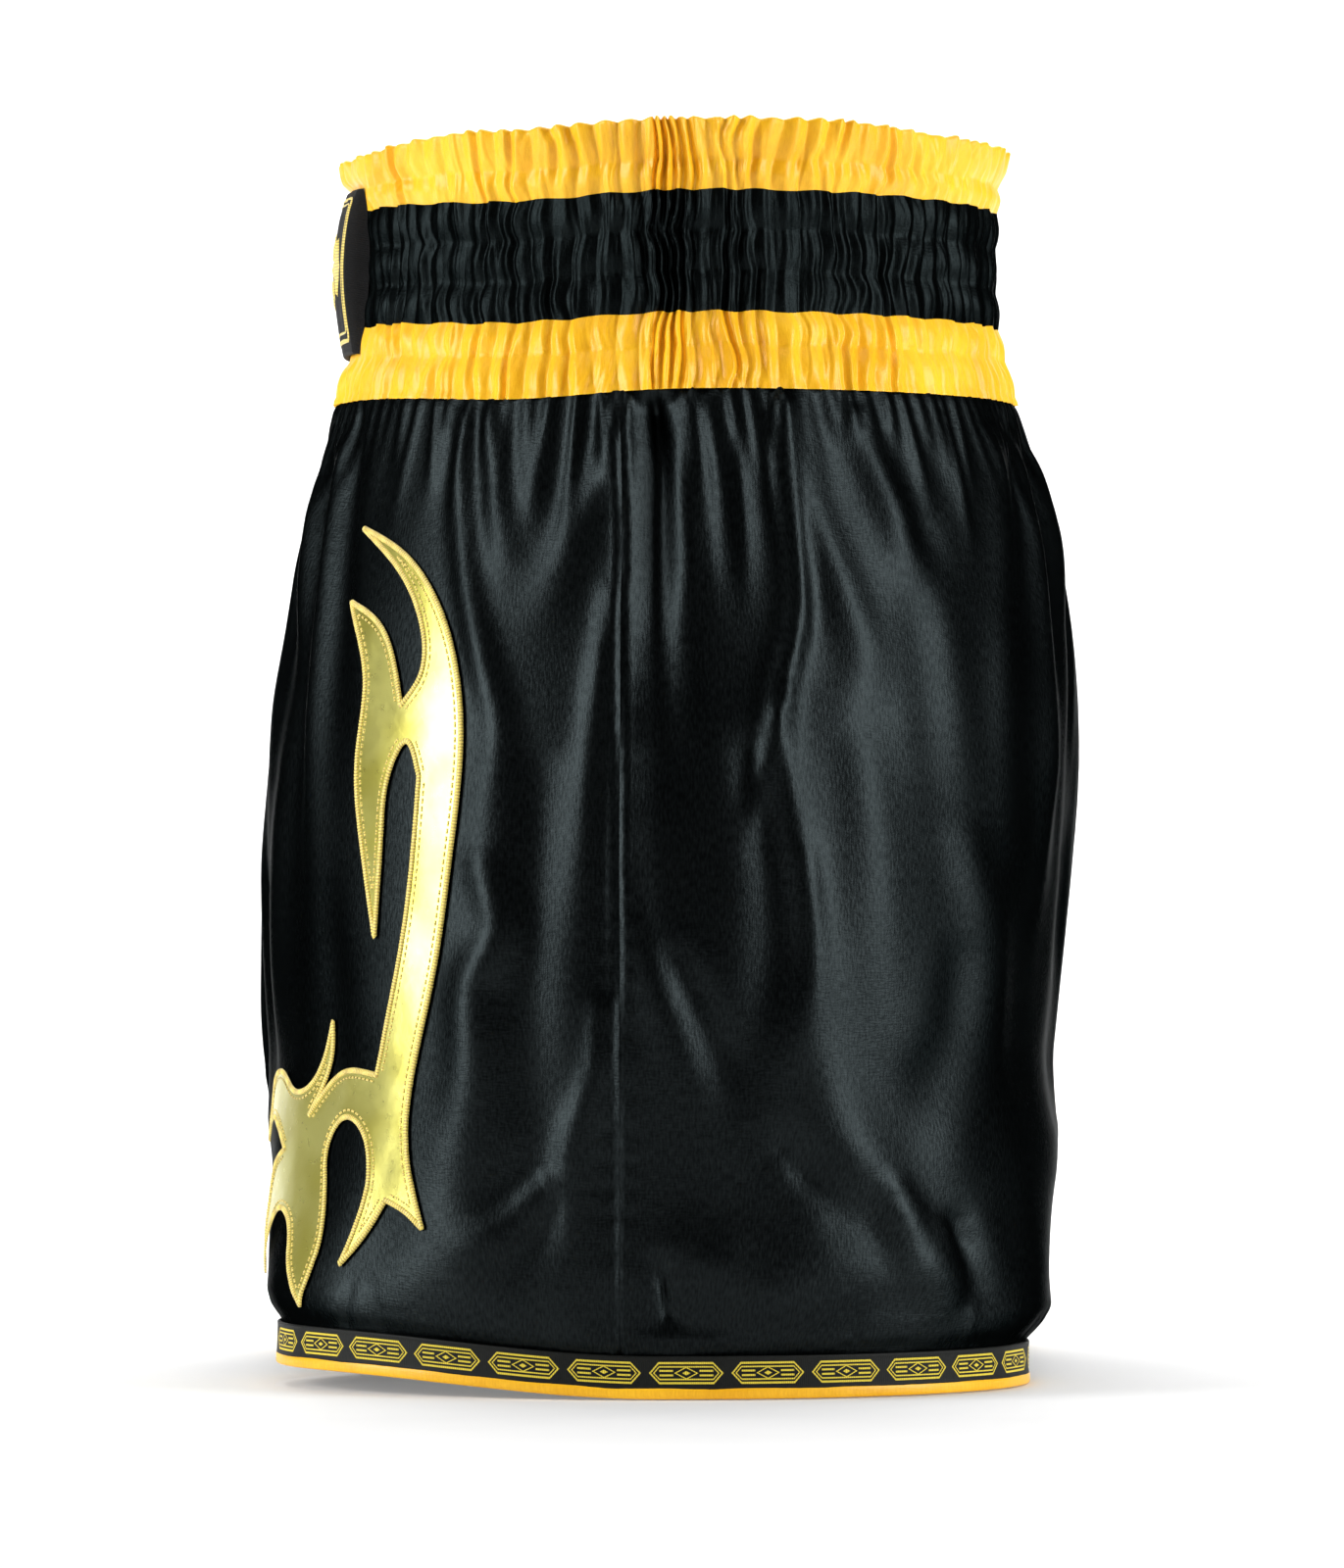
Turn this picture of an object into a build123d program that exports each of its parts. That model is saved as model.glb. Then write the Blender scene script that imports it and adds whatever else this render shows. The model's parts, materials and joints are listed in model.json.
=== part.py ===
"""Satin boxing shorts with a gathered elastic waistband, standing on their hems.

Frame: +Z up, the front faces -Y, the wearer's left is +X. The origin is at the bottom
centre of the whole object, so both hems rest on z = 0. All sizes are in millimetres.
The left half of the garment is modelled and mirrored to make the right half.
"""

import os
from math import copysign, cos, pi, radians, sin

from build123d import *

# ---------------------------------------------------------------- driving dimensions

BINDING_HEIGHT = 3.0  # yellow satin binding folded round the raw hem
TAPE_HEIGHT = 10.4  # woven tape above the binding
CROTCH_HEIGHT = 84.0  # where the two legs divide
SATIN = 1.2  # wall of a leg panel, seams and fullness included
TRIM_GAP = 0.1  # air between stacked layers of trim
TAPE_THICKNESS = 0.8

# Waistband channels from the bottom up: the strip each belongs to, and its height.
CHANNELS = (
    ("bottom", 14.0),
    ("bottom", 10.4),
    ("middle", 12.8),
    ("middle", 12.8),
    ("middle", 12.8),
    ("top", 9.9),
    ("top", 13.7),
)
BAND_BOTTOM = 313.6
BAND_DEPTH = 102.8  # half depth of the waistband at its narrowest stitch row
BAND_WAIST_HEIGHT = 362.0  # height of that narrowest place
BAND_FLARE = 0.0031  # growth of the half depth per mm of height squared
BAND_ASPECT = 1.36  # half width over half depth
BAND_CENTRE_Y = 1.1
CHANNEL_BULGE = 2.3  # how far the cloth stands out between two stitch rows
STRIP_SKIN = 1.0
ELASTIC_THICKNESS = 0.7
ELASTIC_MARGIN = 1.6  # elastic edge to stitch row
FACING_THICKNESS = 0.9

# Body of the shorts: height, front depth, back depth, half width, squareness.
BODY_STATIONS = (
    (CROTCH_HEIGHT, 133.0, 125.5, 184.0, 2.35),
    (125.0, 134.0, 128.5, 184.0, 2.30),
    (165.0, 134.8, 132.5, 181.0, 2.24),
    (205.0, 132.8, 135.0, 175.0, 2.18),
    (245.0, 127.5, 133.0, 167.0, 2.12),
    (282.0, 119.5, 125.0, 158.0, 2.06),
    (BAND_BOTTOM, 109.0, 111.2, 149.7, 2.0),
)

# Each leg opening is an oval that the upper body blends into below the crotch.
LEG_CENTRE_X = 93.0
LEG_HALF_WIDTH = 85.0
LEG_FRONT = 124.5
LEG_BACK = 112.5
LEG_OUTER_WRAP = radians(130)  # how much of the oval comes from the outer wall

SIDE_SEAM_Y = -16.0
GUSSET_HALF_LENGTH = 65.0
GUSSET_DROP = 45.0  # how far the gusset reaches down the inner leg

PATCH_WIDTH = 84.0
PATCH_BOTTOM = 329.5
PATCH_TOP = 387.0
PATCH_THICKNESS = 1.1
EMBLEM_THICKNESS = 0.5
EMBLEM_RADIUS = 14.0
EMBLEM_POINTS = 8
LOZENGE_CENTRE = 25.5  # a lozenge stands on each side of the star, this far from its middle
LOZENGE_WIDTH = 17.0
LOZENGE_HEIGHT = 19.0
BORDER_LINE = 1.4
BORDER_INSET = 3.6

SIZE_LABEL = (30.0, 16.0)
CARE_LABEL = (26.0, 44.0)
LABEL_THICKNESS = 0.5
LABEL_CLEARANCE = 1.2  # the band's curve takes up this much behind a flat label
SIZE_LABEL_HEIGHT = 352.0
CARE_LABEL_HEIGHT = 294.0

# Flame applique on the front of each leg. A point is (distance round the leg from its
# outermost line towards the front, height). Each run is a smooth curve between two tips.
FLAME_RUNS = (
    ((124, 272), (95, 261), (77, 238), (71, 206), (75, 168), (82, 130), (90, 96), (89, 74), (80, 50)),
    ((80, 50), (88, 55), (97, 58)),
    ((97, 58), (103, 48), (113, 35)),
    ((113, 35), (107, 54), (106, 70), (113, 82), (124, 84), (132, 76), (130, 62), (125, 44), (130, 20)),
    ((130, 20), (141, 34), (150, 48), (163, 52), (176, 44), (184, 30)),
    ((184, 30), (187, 50), (179, 66), (166, 72)),
    ((166, 72), (180, 80), (196, 82), (208, 74)),
    ((208, 74), (199, 93), (182, 98), (164, 92), (150, 94), (136, 116)),
    ((136, 116), (138, 100), (148, 84), (140, 92), (122, 100), (106, 99)),
    ((106, 99), (100, 122), (94, 146), (90, 172), (88, 194)),
    ((88, 194), (94, 205), (101, 197), (105, 178), (108, 144)),
    ((108, 144), (115, 172), (119, 200), (116, 224), (129, 249)),
    ((129, 249), (108, 240), (97, 216)),
    ((97, 216), (88, 226), (93, 250), (124, 272)),
)
FLAME_FACING = radians(40)  # direction the flame faces, turned from the front to the side
FLAME_CLEARANCE = 105.0  # its cutter starts this far out, past the inner leg
FOIL_THICKNESS = 0.5
STITCH_THICKNESS = 1.2
STITCH_WIDTH = 2.0
FLAME_CHORDS = 3  # straight chords between two neighbouring points of a run

ARC_STEPS = 14  # spans of a section's spline between two angles
LEG_SECTIONS = (0.0, 0.25, 0.5, 0.75, 1.0)  # shares of the crotch height
REACH = 400.0  # larger than any half of the garment, for cutting tools


# ---------------------------------------------------------------- helpers


def signed_power(value, exponent):
    return copysign(abs(value) ** exponent, value)


def station_at(height):
    """Front, back, half width and squareness of the body at a height."""
    low = BODY_STATIONS[0]
    for high in BODY_STATIONS[1:]:
        if height <= high[0]:
            break
        low = high
    share = (height - low[0]) / (high[0] - low[0])
    return [a + (b - a) * share for a, b in zip(low[1:], high[1:])]


def body_point(angle, height, grow):
    """A point of the body's section: angle 0 is the left side, -90 degrees the front."""
    front, back, half_width, square = station_at(height)
    depth = (front if angle < 0 else back) + grow
    x = (half_width + grow) * signed_power(cos(angle), 2 / square)
    return Vector(x, depth * signed_power(sin(angle), 2 / square), height)


def centre_point(angle, height, grow):
    """A point of the line that closes the left half, between the legs or at the centre."""
    side = body_point(copysign(pi / 2, sin(angle)), height, grow)
    middle = min(grow, 0) if height > CROTCH_HEIGHT else -grow
    return Vector(middle, side.Y * abs(sin(angle)), height)


def half_point(angle, height, grow):
    """A point of the left half: -90 to 90 degrees is the outer wall, the rest the inner."""
    drop = max(CROTCH_HEIGHT - height, 0) / CROTCH_HEIGHT
    blend = drop * drop * (3 - 2 * drop)
    level = max(height, CROTCH_HEIGHT)
    if abs(angle) <= pi / 2:
        start = body_point(angle, level, grow)
        turn = angle / (pi / 2) * LEG_OUTER_WRAP
    else:
        start = centre_point(angle, level, grow)
        turn = pi + (angle - pi) / (pi / 2) * (pi - LEG_OUTER_WRAP)
    if height <= CROTCH_HEIGHT:
        start.X = max(start.X, -grow)
    depth = (LEG_FRONT if sin(turn) < 0 else LEG_BACK) + grow
    end_x = LEG_CENTRE_X + (LEG_HALF_WIDTH + grow) * cos(turn)
    x = start.X + (end_x - start.X) * blend
    y = start.Y + (depth * sin(turn) - start.Y) * blend
    return Vector(x, y, height)


def points_of(first, last, height, grow):
    """Points of the left half's section between two angles, given in degrees."""
    step = (last - first) / ARC_STEPS
    angles = [radians(first + step * index) for index in range(ARC_STEPS + 1)]
    return [half_point(angle, height, grow) for angle in angles]


def half(grow):
    """Solid left half of the garment, grown outwards from the cloth's outer surface."""
    heights = [CROTCH_HEIGHT * share for share in LEG_SECTIONS]
    heights.append(CROTCH_HEIGHT + SATIN)
    heights += [station[0] for station in BODY_STATIONS[1:]]
    sections = []
    for height in heights:
        outer = Spline(*points_of(-90, 90, height, grow))
        between = points_of(90, 270, height, grow)[1:-1]
        inner = Spline(outer @ 1, *between, outer @ 0)
        sections.append(Face(Wire([outer, inner])))
    return loft(sections, ruled=True)


def layer(low, high):
    """The space between two heights."""
    return Pos(0, 0, (low + high) / 2) * Box(2 * REACH, 2 * REACH, high - low)


def mirrored(shape):
    return mirror(shape, about=Plane.YZ)


def band_depth(height):
    return BAND_DEPTH + BAND_FLARE * (height - BAND_WAIST_HEIGHT) ** 2


def band_oval(height, grow):
    depth = band_depth(height)
    oval = Ellipse(depth * BAND_ASPECT + grow, depth + grow)
    return Pos(0, BAND_CENTRE_Y, height) * oval


def band_ring(heights, outer, inner, ruled=True):
    """Ring between two lists of growths, one for each height."""
    full = loft([band_oval(h, g) for h, g in zip(heights, outer)], ruled=ruled)
    hole = loft([band_oval(h, g) for h, g in zip(heights, inner)], ruled=ruled)
    return full - hole


def channel_heights():
    """Bottom and top of each channel, from the bottom up."""
    low = BAND_BOTTOM
    spans = []
    for _, height in CHANNELS:
        spans.append((low, low + height))
        low += height
    return spans


# ---------------------------------------------------------------- sub-parts


def leg_panels():
    """Front and back panels and the crotch gusset, with the gusset's cap between the legs."""
    left = (half(0.0) - half(-SATIN)) & layer(BINDING_HEIGHT, BAND_BOTTOM)
    gusset_low = CROTCH_HEIGHT - GUSSET_DROP
    gusset_top = CROTCH_HEIGHT + SATIN
    gusset_space = Box(LEG_CENTRE_X, 2 * GUSSET_HALF_LENGTH, gusset_top - gusset_low)
    gusset_space = Pos(LEG_CENTRE_X / 2, 0, (gusset_low + gusset_top) / 2) * gusset_space
    cap = Pos(0, 0, CROTCH_HEIGHT + SATIN / 2) * Box(2 * SATIN, 2 * GUSSET_HALF_LENGTH, SATIN)
    inner_leg = left & gusset_space
    gusset = inner_leg + mirrored(inner_leg) + cap
    left = left - gusset_space
    front_space = Pos(0, SIDE_SEAM_Y - REACH / 2, REACH / 2) * Box(2 * REACH, REACH, REACH)
    front = left & front_space
    back = left - front_space
    return {
        "left_front_leg_panel": front,
        "left_back_leg_panel": back,
        "right_front_leg_panel": mirrored(front),
        "right_back_leg_panel": mirrored(back),
        "crotch_gusset": gusset,
    }


def waist_strips():
    """Three gathered strips, each one skin over its channels."""
    strips = {}
    for (strip, _), (low, high) in zip(CHANNELS, channel_heights()):
        heights = (low, (low + high) / 2, high)
        outer = (0.0, CHANNEL_BULGE, 0.0)
        inner = [grow - STRIP_SKIN for grow in outer]
        puff = band_ring(heights, outer, inner, ruled=False)
        name = f"waist_strip_{strip}"
        strips[name] = strips[name] + puff if name in strips else puff
    return strips


def waist_elastics():
    """A flat elastic in each channel, between the strip and the facing."""
    elastics = {}
    inner = -STRIP_SKIN - TRIM_GAP
    for number, (low, high) in enumerate(channel_heights(), start=1):
        heights = (low + ELASTIC_MARGIN, high - ELASTIC_MARGIN)
        ring = band_ring(heights, [inner + ELASTIC_THICKNESS] * 2, [inner] * 2)
        elastics[f"waist_elastic_{number}"] = ring
    return elastics


def waist_facing():
    """The cloth that closes the channels on the wearer's side."""
    spans = channel_heights()
    heights = [low for low, _ in spans] + [spans[-1][1]]
    outer = -STRIP_SKIN - 2 * TRIM_GAP
    return band_ring(heights, [outer] * len(heights), [outer - FACING_THICKNESS] * len(heights))


def patch_shell(low, high, start, thickness):
    """Part of an upright oval wall over the front of the waistband."""
    grow = CHANNEL_BULGE + band_depth(PATCH_BOTTOM) - BAND_DEPTH + TRIM_GAP + start
    outer = Ellipse(BAND_DEPTH * BAND_ASPECT + grow + thickness, BAND_DEPTH + grow + thickness)
    inner = Ellipse(BAND_DEPTH * BAND_ASPECT + grow, BAND_DEPTH + grow)
    wall = extrude(Pos(0, BAND_CENTRE_Y, low) * (outer - inner), high - low)
    front = Pos(0, -REACH / 2, (low + high) / 2) * Box(PATCH_WIDTH, REACH, high - low)
    return wall & front


def star(radius, points):
    """A plain star, as an outline in the XZ plane."""
    corners = []
    for index in range(2 * points):
        reach = radius if index % 2 == 0 else radius * 0.55
        turn = pi * index / points
        corners.append((reach * sin(turn), reach * cos(turn)))
    return make_face(Polyline(*corners, close=True))


def lozenge(centre):
    """A plain lozenge beside the star, as an outline in the XZ plane."""
    wide, high = LOZENGE_WIDTH / 2, LOZENGE_HEIGHT / 2
    corners = ((centre - wide, 0), (centre, high), (centre + wide, 0), (centre, -high))
    return make_face(Polyline(*corners, close=True))


def front_patch():
    """Woven patch on the front of the waistband, with its raised border lines and emblem."""
    base = patch_shell(PATCH_BOTTOM, PATCH_TOP, 0.0, PATCH_THICKNESS)
    relief = patch_shell(PATCH_BOTTOM, PATCH_TOP, PATCH_THICKNESS, EMBLEM_THICKNESS)
    middle = (PATCH_BOTTOM + PATCH_TOP) / 2
    outer = Rectangle(PATCH_WIDTH - 2 * BORDER_INSET, PATCH_TOP - PATCH_BOTTOM - 2 * BORDER_INSET)
    inner = offset(outer, -BORDER_LINE, kind=Kind.INTERSECTION)
    marks = star(EMBLEM_RADIUS, EMBLEM_POINTS) + lozenge(-LOZENGE_CENTRE) + lozenge(LOZENGE_CENTRE)
    drawing = (outer - inner) + marks
    stamp = extrude(Plane.XZ * Pos(0, middle) * drawing, REACH)
    return {"front_patch": base, "front_patch_emblem": relief & stamp}


def hem_trim():
    """Woven tape round each hem and the satin binding under it."""
    tape = half(TRIM_GAP + TAPE_THICKNESS) - half(TRIM_GAP)
    tape = tape & layer(BINDING_HEIGHT, BINDING_HEIGHT + TAPE_HEIGHT)
    binding = half(TRIM_GAP + TAPE_THICKNESS) - half(-SATIN)
    binding = binding & layer(0, BINDING_HEIGHT)
    return {
        "left_hem_tape": tape,
        "right_hem_tape": mirrored(tape),
        "left_hem_binding": binding,
        "right_hem_binding": mirrored(binding),
    }


def flame_outline():
    """The plane that the flame faces, and its outline there."""
    facing = Vector(sin(FLAME_FACING), -cos(FLAME_FACING), 0)
    across = Vector(cos(FLAME_FACING), sin(FLAME_FACING), 0)
    corners = []
    for run in FLAME_RUNS:
        flat = []
        for distance, height in run:
            quarter = Spline(*points_of(0, -90, height, 0.0))
            place = quarter.position_at(distance, position_mode=PositionMode.LENGTH)
            flat.append((place.dot(across), height))
        curve = Spline(*flat)
        chords = FLAME_CHORDS * (len(run) - 1)
        corners += [curve @ (step / chords) for step in range(chords)]
    plane = Plane(origin=facing * FLAME_CLEARANCE, x_dir=across, z_dir=facing)
    return plane, make_face(Polyline(*corners, close=True))


def flame_layer(plane, outline, start, thickness):
    """The part of a layer over the left leg that lies inside an outline."""
    shell = half(start + thickness) - half(start)
    return shell & extrude(plane * outline, REACH)


def leg_flames():
    """Foil applique on each leg, and the satin stitch round its edge."""
    plane, outline = flame_outline()
    inner = offset(outline, -STITCH_WIDTH / 2, kind=Kind.ARC)
    foil = flame_layer(plane, inner, TRIM_GAP, FOIL_THICKNESS)
    stitch = flame_layer(plane, outline - inner, TRIM_GAP, STITCH_THICKNESS)
    return {
        "left_flame_foil": foil,
        "right_flame_foil": mirrored(foil),
        "left_flame_stitching": stitch,
        "right_flame_stitching": mirrored(stitch),
    }


def labels():
    """Blank size and care labels inside the back, each sewn to the waist facing."""
    shapes = {}
    for name, (width, height), middle in (
        ("size_label", SIZE_LABEL, SIZE_LABEL_HEIGHT),
        ("care_label", CARE_LABEL, CARE_LABEL_HEIGHT),
    ):
        sewn_at = min(middle + height / 2, BAND_WAIST_HEIGHT)
        inset = STRIP_SKIN + FACING_THICKNESS + LABEL_CLEARANCE
        back = BAND_CENTRE_Y + band_depth(sewn_at) - inset - LABEL_THICKNESS / 2
        shapes[name] = Pos(0, back, middle) * Box(width, LABEL_THICKNESS, height)
    return shapes


def build():
    nodes = {}
    nodes.update(leg_panels())
    nodes.update(waist_strips())
    nodes.update(waist_elastics())
    nodes["waist_facing"] = waist_facing()
    nodes.update(front_patch())
    nodes.update(hem_trim())
    nodes.update(leg_flames())
    nodes.update(labels())
    return nodes


os.makedirs("parts", exist_ok=True)
for name, shape in build().items():
    export_step(shape, f"parts/{name}.step")
    print(name, round(shape.volume), len(shape.solids()))
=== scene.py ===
"""Looks of the boxing shorts: satin, gathered waistband, trim, studio and camera.

Shapes are worked out in millimetres in the model's own frame (+Z up, front faces -Y, the
wearer's left is +X) and turned into metres when a mesh is made.
"""
import json
import math

import bpy
import numpy as np
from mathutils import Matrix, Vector
from mathutils.geometry import delaunay_2d_cdt

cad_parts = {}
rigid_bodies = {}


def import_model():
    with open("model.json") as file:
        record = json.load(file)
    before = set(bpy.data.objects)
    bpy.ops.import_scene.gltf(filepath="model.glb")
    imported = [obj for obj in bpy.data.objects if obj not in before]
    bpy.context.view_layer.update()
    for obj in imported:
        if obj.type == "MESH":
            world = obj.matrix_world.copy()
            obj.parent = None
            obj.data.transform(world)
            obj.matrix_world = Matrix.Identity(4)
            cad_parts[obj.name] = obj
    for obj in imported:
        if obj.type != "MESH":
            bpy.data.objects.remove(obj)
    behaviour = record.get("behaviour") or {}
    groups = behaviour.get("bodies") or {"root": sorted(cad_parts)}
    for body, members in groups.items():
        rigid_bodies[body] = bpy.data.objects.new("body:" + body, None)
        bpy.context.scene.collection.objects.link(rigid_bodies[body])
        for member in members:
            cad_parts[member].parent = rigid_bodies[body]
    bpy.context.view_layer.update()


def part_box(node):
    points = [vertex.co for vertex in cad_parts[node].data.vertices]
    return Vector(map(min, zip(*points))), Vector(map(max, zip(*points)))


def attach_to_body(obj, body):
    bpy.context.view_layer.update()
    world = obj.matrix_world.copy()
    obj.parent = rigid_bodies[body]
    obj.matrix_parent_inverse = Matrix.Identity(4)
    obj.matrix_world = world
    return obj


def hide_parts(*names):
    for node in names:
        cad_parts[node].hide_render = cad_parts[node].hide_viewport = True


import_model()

MM = 0.001
HALF_TURN = math.pi / 2

# ---------------------------------------------------------------- form of the garment

CROTCH = 84.0
BAND_BOTTOM = 313.6
HEM = 2.0
# Sections of the body: height, front depth, back depth, half width, squareness.
STATIONS = np.array([
    (CROTCH, 133.0, 125.5, 184.0, 2.35),
    (125.0, 134.0, 128.5, 184.0, 2.30),
    (165.0, 134.8, 132.5, 181.0, 2.24),
    (205.0, 132.8, 135.0, 175.0, 2.18),
    (245.0, 127.5, 133.0, 167.0, 2.12),
    (282.0, 119.5, 125.0, 158.0, 2.06),
    (BAND_BOTTOM, 109.0, 111.2, 149.7, 2.0),
])
LEG_X, LEG_WIDTH, LEG_FRONT, LEG_BACK = 93.0, 85.0, 124.5, 112.5
LEG_WRAP = math.radians(130)  # the outer cloth covers this much of the leg opening each way
SEAM_Y = -16.0  # the side seam lies this far in front of the middle

BAND_DEPTH, BAND_WAIST, BAND_FLARE, BAND_ASPECT, BAND_Y = 102.8, 362.0, 0.0031, 1.36, 1.1
BAND_TOP = 400.0
CHANNELS = (14.0, 10.4, 12.8, 12.8, 12.8, 9.9, 13.7)
TAPE_TOP = 13.4

# Cloth grid: columns of the front and back of one side, of its inner leg, and rows.
FRONT_COLUMNS, BACK_COLUMNS, INNER_COLUMNS = 62, 70, 60
UPPER_ROWS, LOWER_ROWS = 62, 23
FINER = 3  # the simulated grid is drawn this much finer


def unit(vectors):
    """The same directions with length 1."""
    return vectors / np.maximum(np.linalg.norm(vectors, axis=-1, keepdims=True), 1e-9)


def arc_length(line):
    """Distance along a line at each of its points."""
    return np.concatenate([[0], np.cumsum(np.linalg.norm(np.diff(line, axis=0), axis=1))])


def respaced(line, count):
    """The same line as count + 1 evenly spaced points."""
    arc = arc_length(line)
    places = np.linspace(0, arc[-1], count + 1)
    return np.stack([np.interp(places, arc, line[:, k]) for k in range(line.shape[1])], -1)


def resample(line, step, closed=False):
    """The same line as points about a step apart."""
    if closed:
        line = np.concatenate([line, line[:1]])
    out = respaced(line, max(int(arc_length(line)[-1] / step), 8))
    return out[:-1] if closed else out


def through(x, xs, ys):
    """Smooth curve through stations, at x."""
    x = np.clip(x, xs[0], xs[-1])
    slope = np.gradient(ys, xs)
    i = np.clip(np.searchsorted(xs, x, side="right") - 1, 0, len(xs) - 2)
    step = xs[i + 1] - xs[i]
    t = (x - xs[i]) / step
    start = (2 * t**3 - 3 * t**2 + 1) * ys[i] + (t**3 - 2 * t**2 + t) * step * slope[i]
    end = (3 * t**2 - 2 * t**3) * ys[i + 1] + (t**3 - t**2) * step * slope[i + 1]
    return start + end


def signed_power(value, exponent):
    """Power of the size of a value, with its sign kept."""
    return np.sign(value) * np.abs(value) ** exponent


def fade(value, low, high):
    """0 below low, 1 above high, smooth between."""
    t = np.clip((value - low) / (high - low), 0, 1)
    return t * t * (3 - 2 * t)


def body_section(angle, height, grow=0.0):
    """Point (x, y) of the outer wall above the crotch, a rounded square oval."""
    front, back, width, square = (through(height, STATIONS[:, 0], STATIONS[:, k]) for k in range(1, 5))
    depth = np.where(angle < 0, front, back) + grow
    x = (width + grow) * signed_power(np.cos(angle), 2 / square)
    return np.stack([x, depth * signed_power(np.sin(angle), 2 / square)], -1)


def form(angle, height, grow=0.0):
    """Left half of the garment: -90 to 90 degrees is the outer wall, on to 270 the inner."""
    angle, height = np.broadcast_arrays(np.asarray(angle, float), np.asarray(height, float))
    level = np.maximum(height, CROTCH)
    drop = np.clip((CROTCH - height) / CROTCH, 0, 1)
    blend = fade(drop, 0, 1)[..., None]
    outer = np.abs(angle) <= HALF_TURN + 1e-9
    start = body_section(np.clip(angle, -HALF_TURN, HALF_TURN), level, grow)
    side = body_section(np.where(np.sin(angle) < 0, -HALF_TURN, HALF_TURN), level, grow)
    centre = np.stack([-grow * (height <= CROTCH), side[..., 1] * np.abs(np.sin(angle))], -1)
    start = np.where(outer[..., None], start, centre)
    inner_turn = math.pi + (angle - math.pi) / HALF_TURN * (math.pi - LEG_WRAP)
    turn = np.where(outer, angle / HALF_TURN * LEG_WRAP, inner_turn)
    depth = np.where(np.sin(turn) < 0, LEG_FRONT, LEG_BACK) + grow
    end = np.stack([LEG_X + (LEG_WIDTH + grow) * np.cos(turn), depth * np.sin(turn)], -1)
    return np.concatenate([(1 - blend) * start + blend * end, height[..., None]], -1)


def even_row(first, last, count, height, grow=0.0):
    """count + 1 points evenly spaced along a section between two angles."""
    return respaced(form(np.linspace(first, last, 500), height, grow), count)


def seam_angle(height):
    """Angle of the side seam at a height."""
    angles = np.linspace(-0.6, 0.6, 200)
    return float(np.interp(SEAM_Y, form(angles, height)[:, 1], angles))


HEIGHTS = np.concatenate([
    np.linspace(BAND_BOTTOM, CROTCH, UPPER_ROWS + 1),
    np.linspace(CROTCH, HEM, LOWER_ROWS + 1)[1:],
])


def left_grids(grow=0.0):
    """Outer grid (rows down, columns front to back) and inner grid of the left half."""
    outer, inner = [], []
    for height in HEIGHTS:
        seam = seam_angle(height)
        front = even_row(-HALF_TURN, seam, FRONT_COLUMNS, height, grow)
        back = even_row(seam, HALF_TURN, BACK_COLUMNS, height, grow)
        outer.append(np.concatenate([front, back[1:]]))
        if height <= CROTCH:
            row = even_row(HALF_TURN, 3 * HALF_TURN, INNER_COLUMNS, height, grow)
            row[0], row[-1] = outer[-1][-1], outer[-1][0]
            inner.append(row)
    return np.array(outer), np.array(inner)


def mirrored(points):
    """The same points on the other side of the centre."""
    return points * np.array([-1.0, 1.0, 1.0])


def worn(points):
    """Heights as the garment hangs: the front hem rides up, the foot of the band dips in front, and
    the top edge dips towards both ends."""
    points = np.array(points, float)
    y, z = points[..., 1], points[..., 2]
    hem = 6.3 * fade(-y, 5, 115) * (1 - fade(z, 10, 150))
    band = -3.0 * np.exp(-(((y + 50) / 35) ** 2)) * fade(z, 270, 313)
    top = -(1.5 + 6.0 * fade(-y, 60, 108) + 2.2 * fade(y, 50, 95)) * fade(z, 372, 400)
    points[..., 2] = z + hem + band + top
    return points


# ---------------------------------------------------------------- meshes


def weld(points):
    """First use of each point that differs by a micrometre, and where every point went."""
    rounded = np.round(points, 3) + 0.0
    _, first, back = np.unique(rounded, axis=0, return_index=True, return_inverse=True)
    return first, back.reshape(-1)


def quads_of(ids, flip=False):
    """Corner numbers of a grid's squares."""
    quads = np.stack([ids[:-1, :-1], ids[1:, :-1], ids[1:, 1:], ids[:-1, 1:]], -1).reshape(-1, 4)
    return quads[:, ::-1] if flip else quads


def mesh_piece(name, points, faces, uv=None, material=None):
    """Object from points in mm, faces as index rows, and one (u, v) for each corner in metres.
    What has a material is a piece of the garment, and hangs as it is worn."""
    if material is not None:
        points = worn(points)
    mesh = bpy.data.meshes.new(name)
    mesh.from_pydata((np.asarray(points) * MM).tolist(), [], [list(map(int, f)) for f in faces])
    if uv is not None:
        layer = mesh.uv_layers.new(name="cloth")
        layer.data.foreach_set("uv", np.asarray(uv, dtype=np.float32).ravel())
    mesh.polygons.foreach_set("use_smooth", [True] * len(mesh.polygons))
    mesh.update()
    piece = bpy.data.objects.new(name, mesh)
    bpy.context.scene.collection.objects.link(piece)
    if material is not None:
        mesh.materials.append(material)
    return piece


def grid_piece(name, grids, material, flips=None):
    """One welded mesh from grids of (points, uv in mm)."""
    points = np.concatenate([g.reshape(-1, 3) for g, _ in grids])
    first, back = weld(points)
    faces, uvs, start = [], [], 0
    for number, (grid, uv) in enumerate(grids):
        count = grid.shape[0] * grid.shape[1]
        ids = np.arange(start, start + count).reshape(grid.shape[:2])
        quads = quads_of(ids, bool(flips and flips[number]))
        faces.append(quads)
        uvs.append(uv.reshape(-1, 2)[quads.reshape(-1) - start])
        start += count
    faces = back[np.concatenate(faces)]
    return mesh_piece(name, points[first], faces, np.concatenate(uvs) * MM, material)


def rows_piece(name, rows, uvs, material, flip=False):
    """Mesh piece from rows of points and rows of (u, v), in mm."""
    return grid_piece(name, [(np.array(rows), np.array(uvs))], material, [flip])


def row_uv(along, level):
    """(u, v) of one row, all at the same level."""
    return np.stack([along, np.full(len(along), level)], -1)


def attach(piece, node):
    """The piece is part of the shorts' one body and stands for a CAD node."""
    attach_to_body(piece, "root")
    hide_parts(node)


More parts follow.
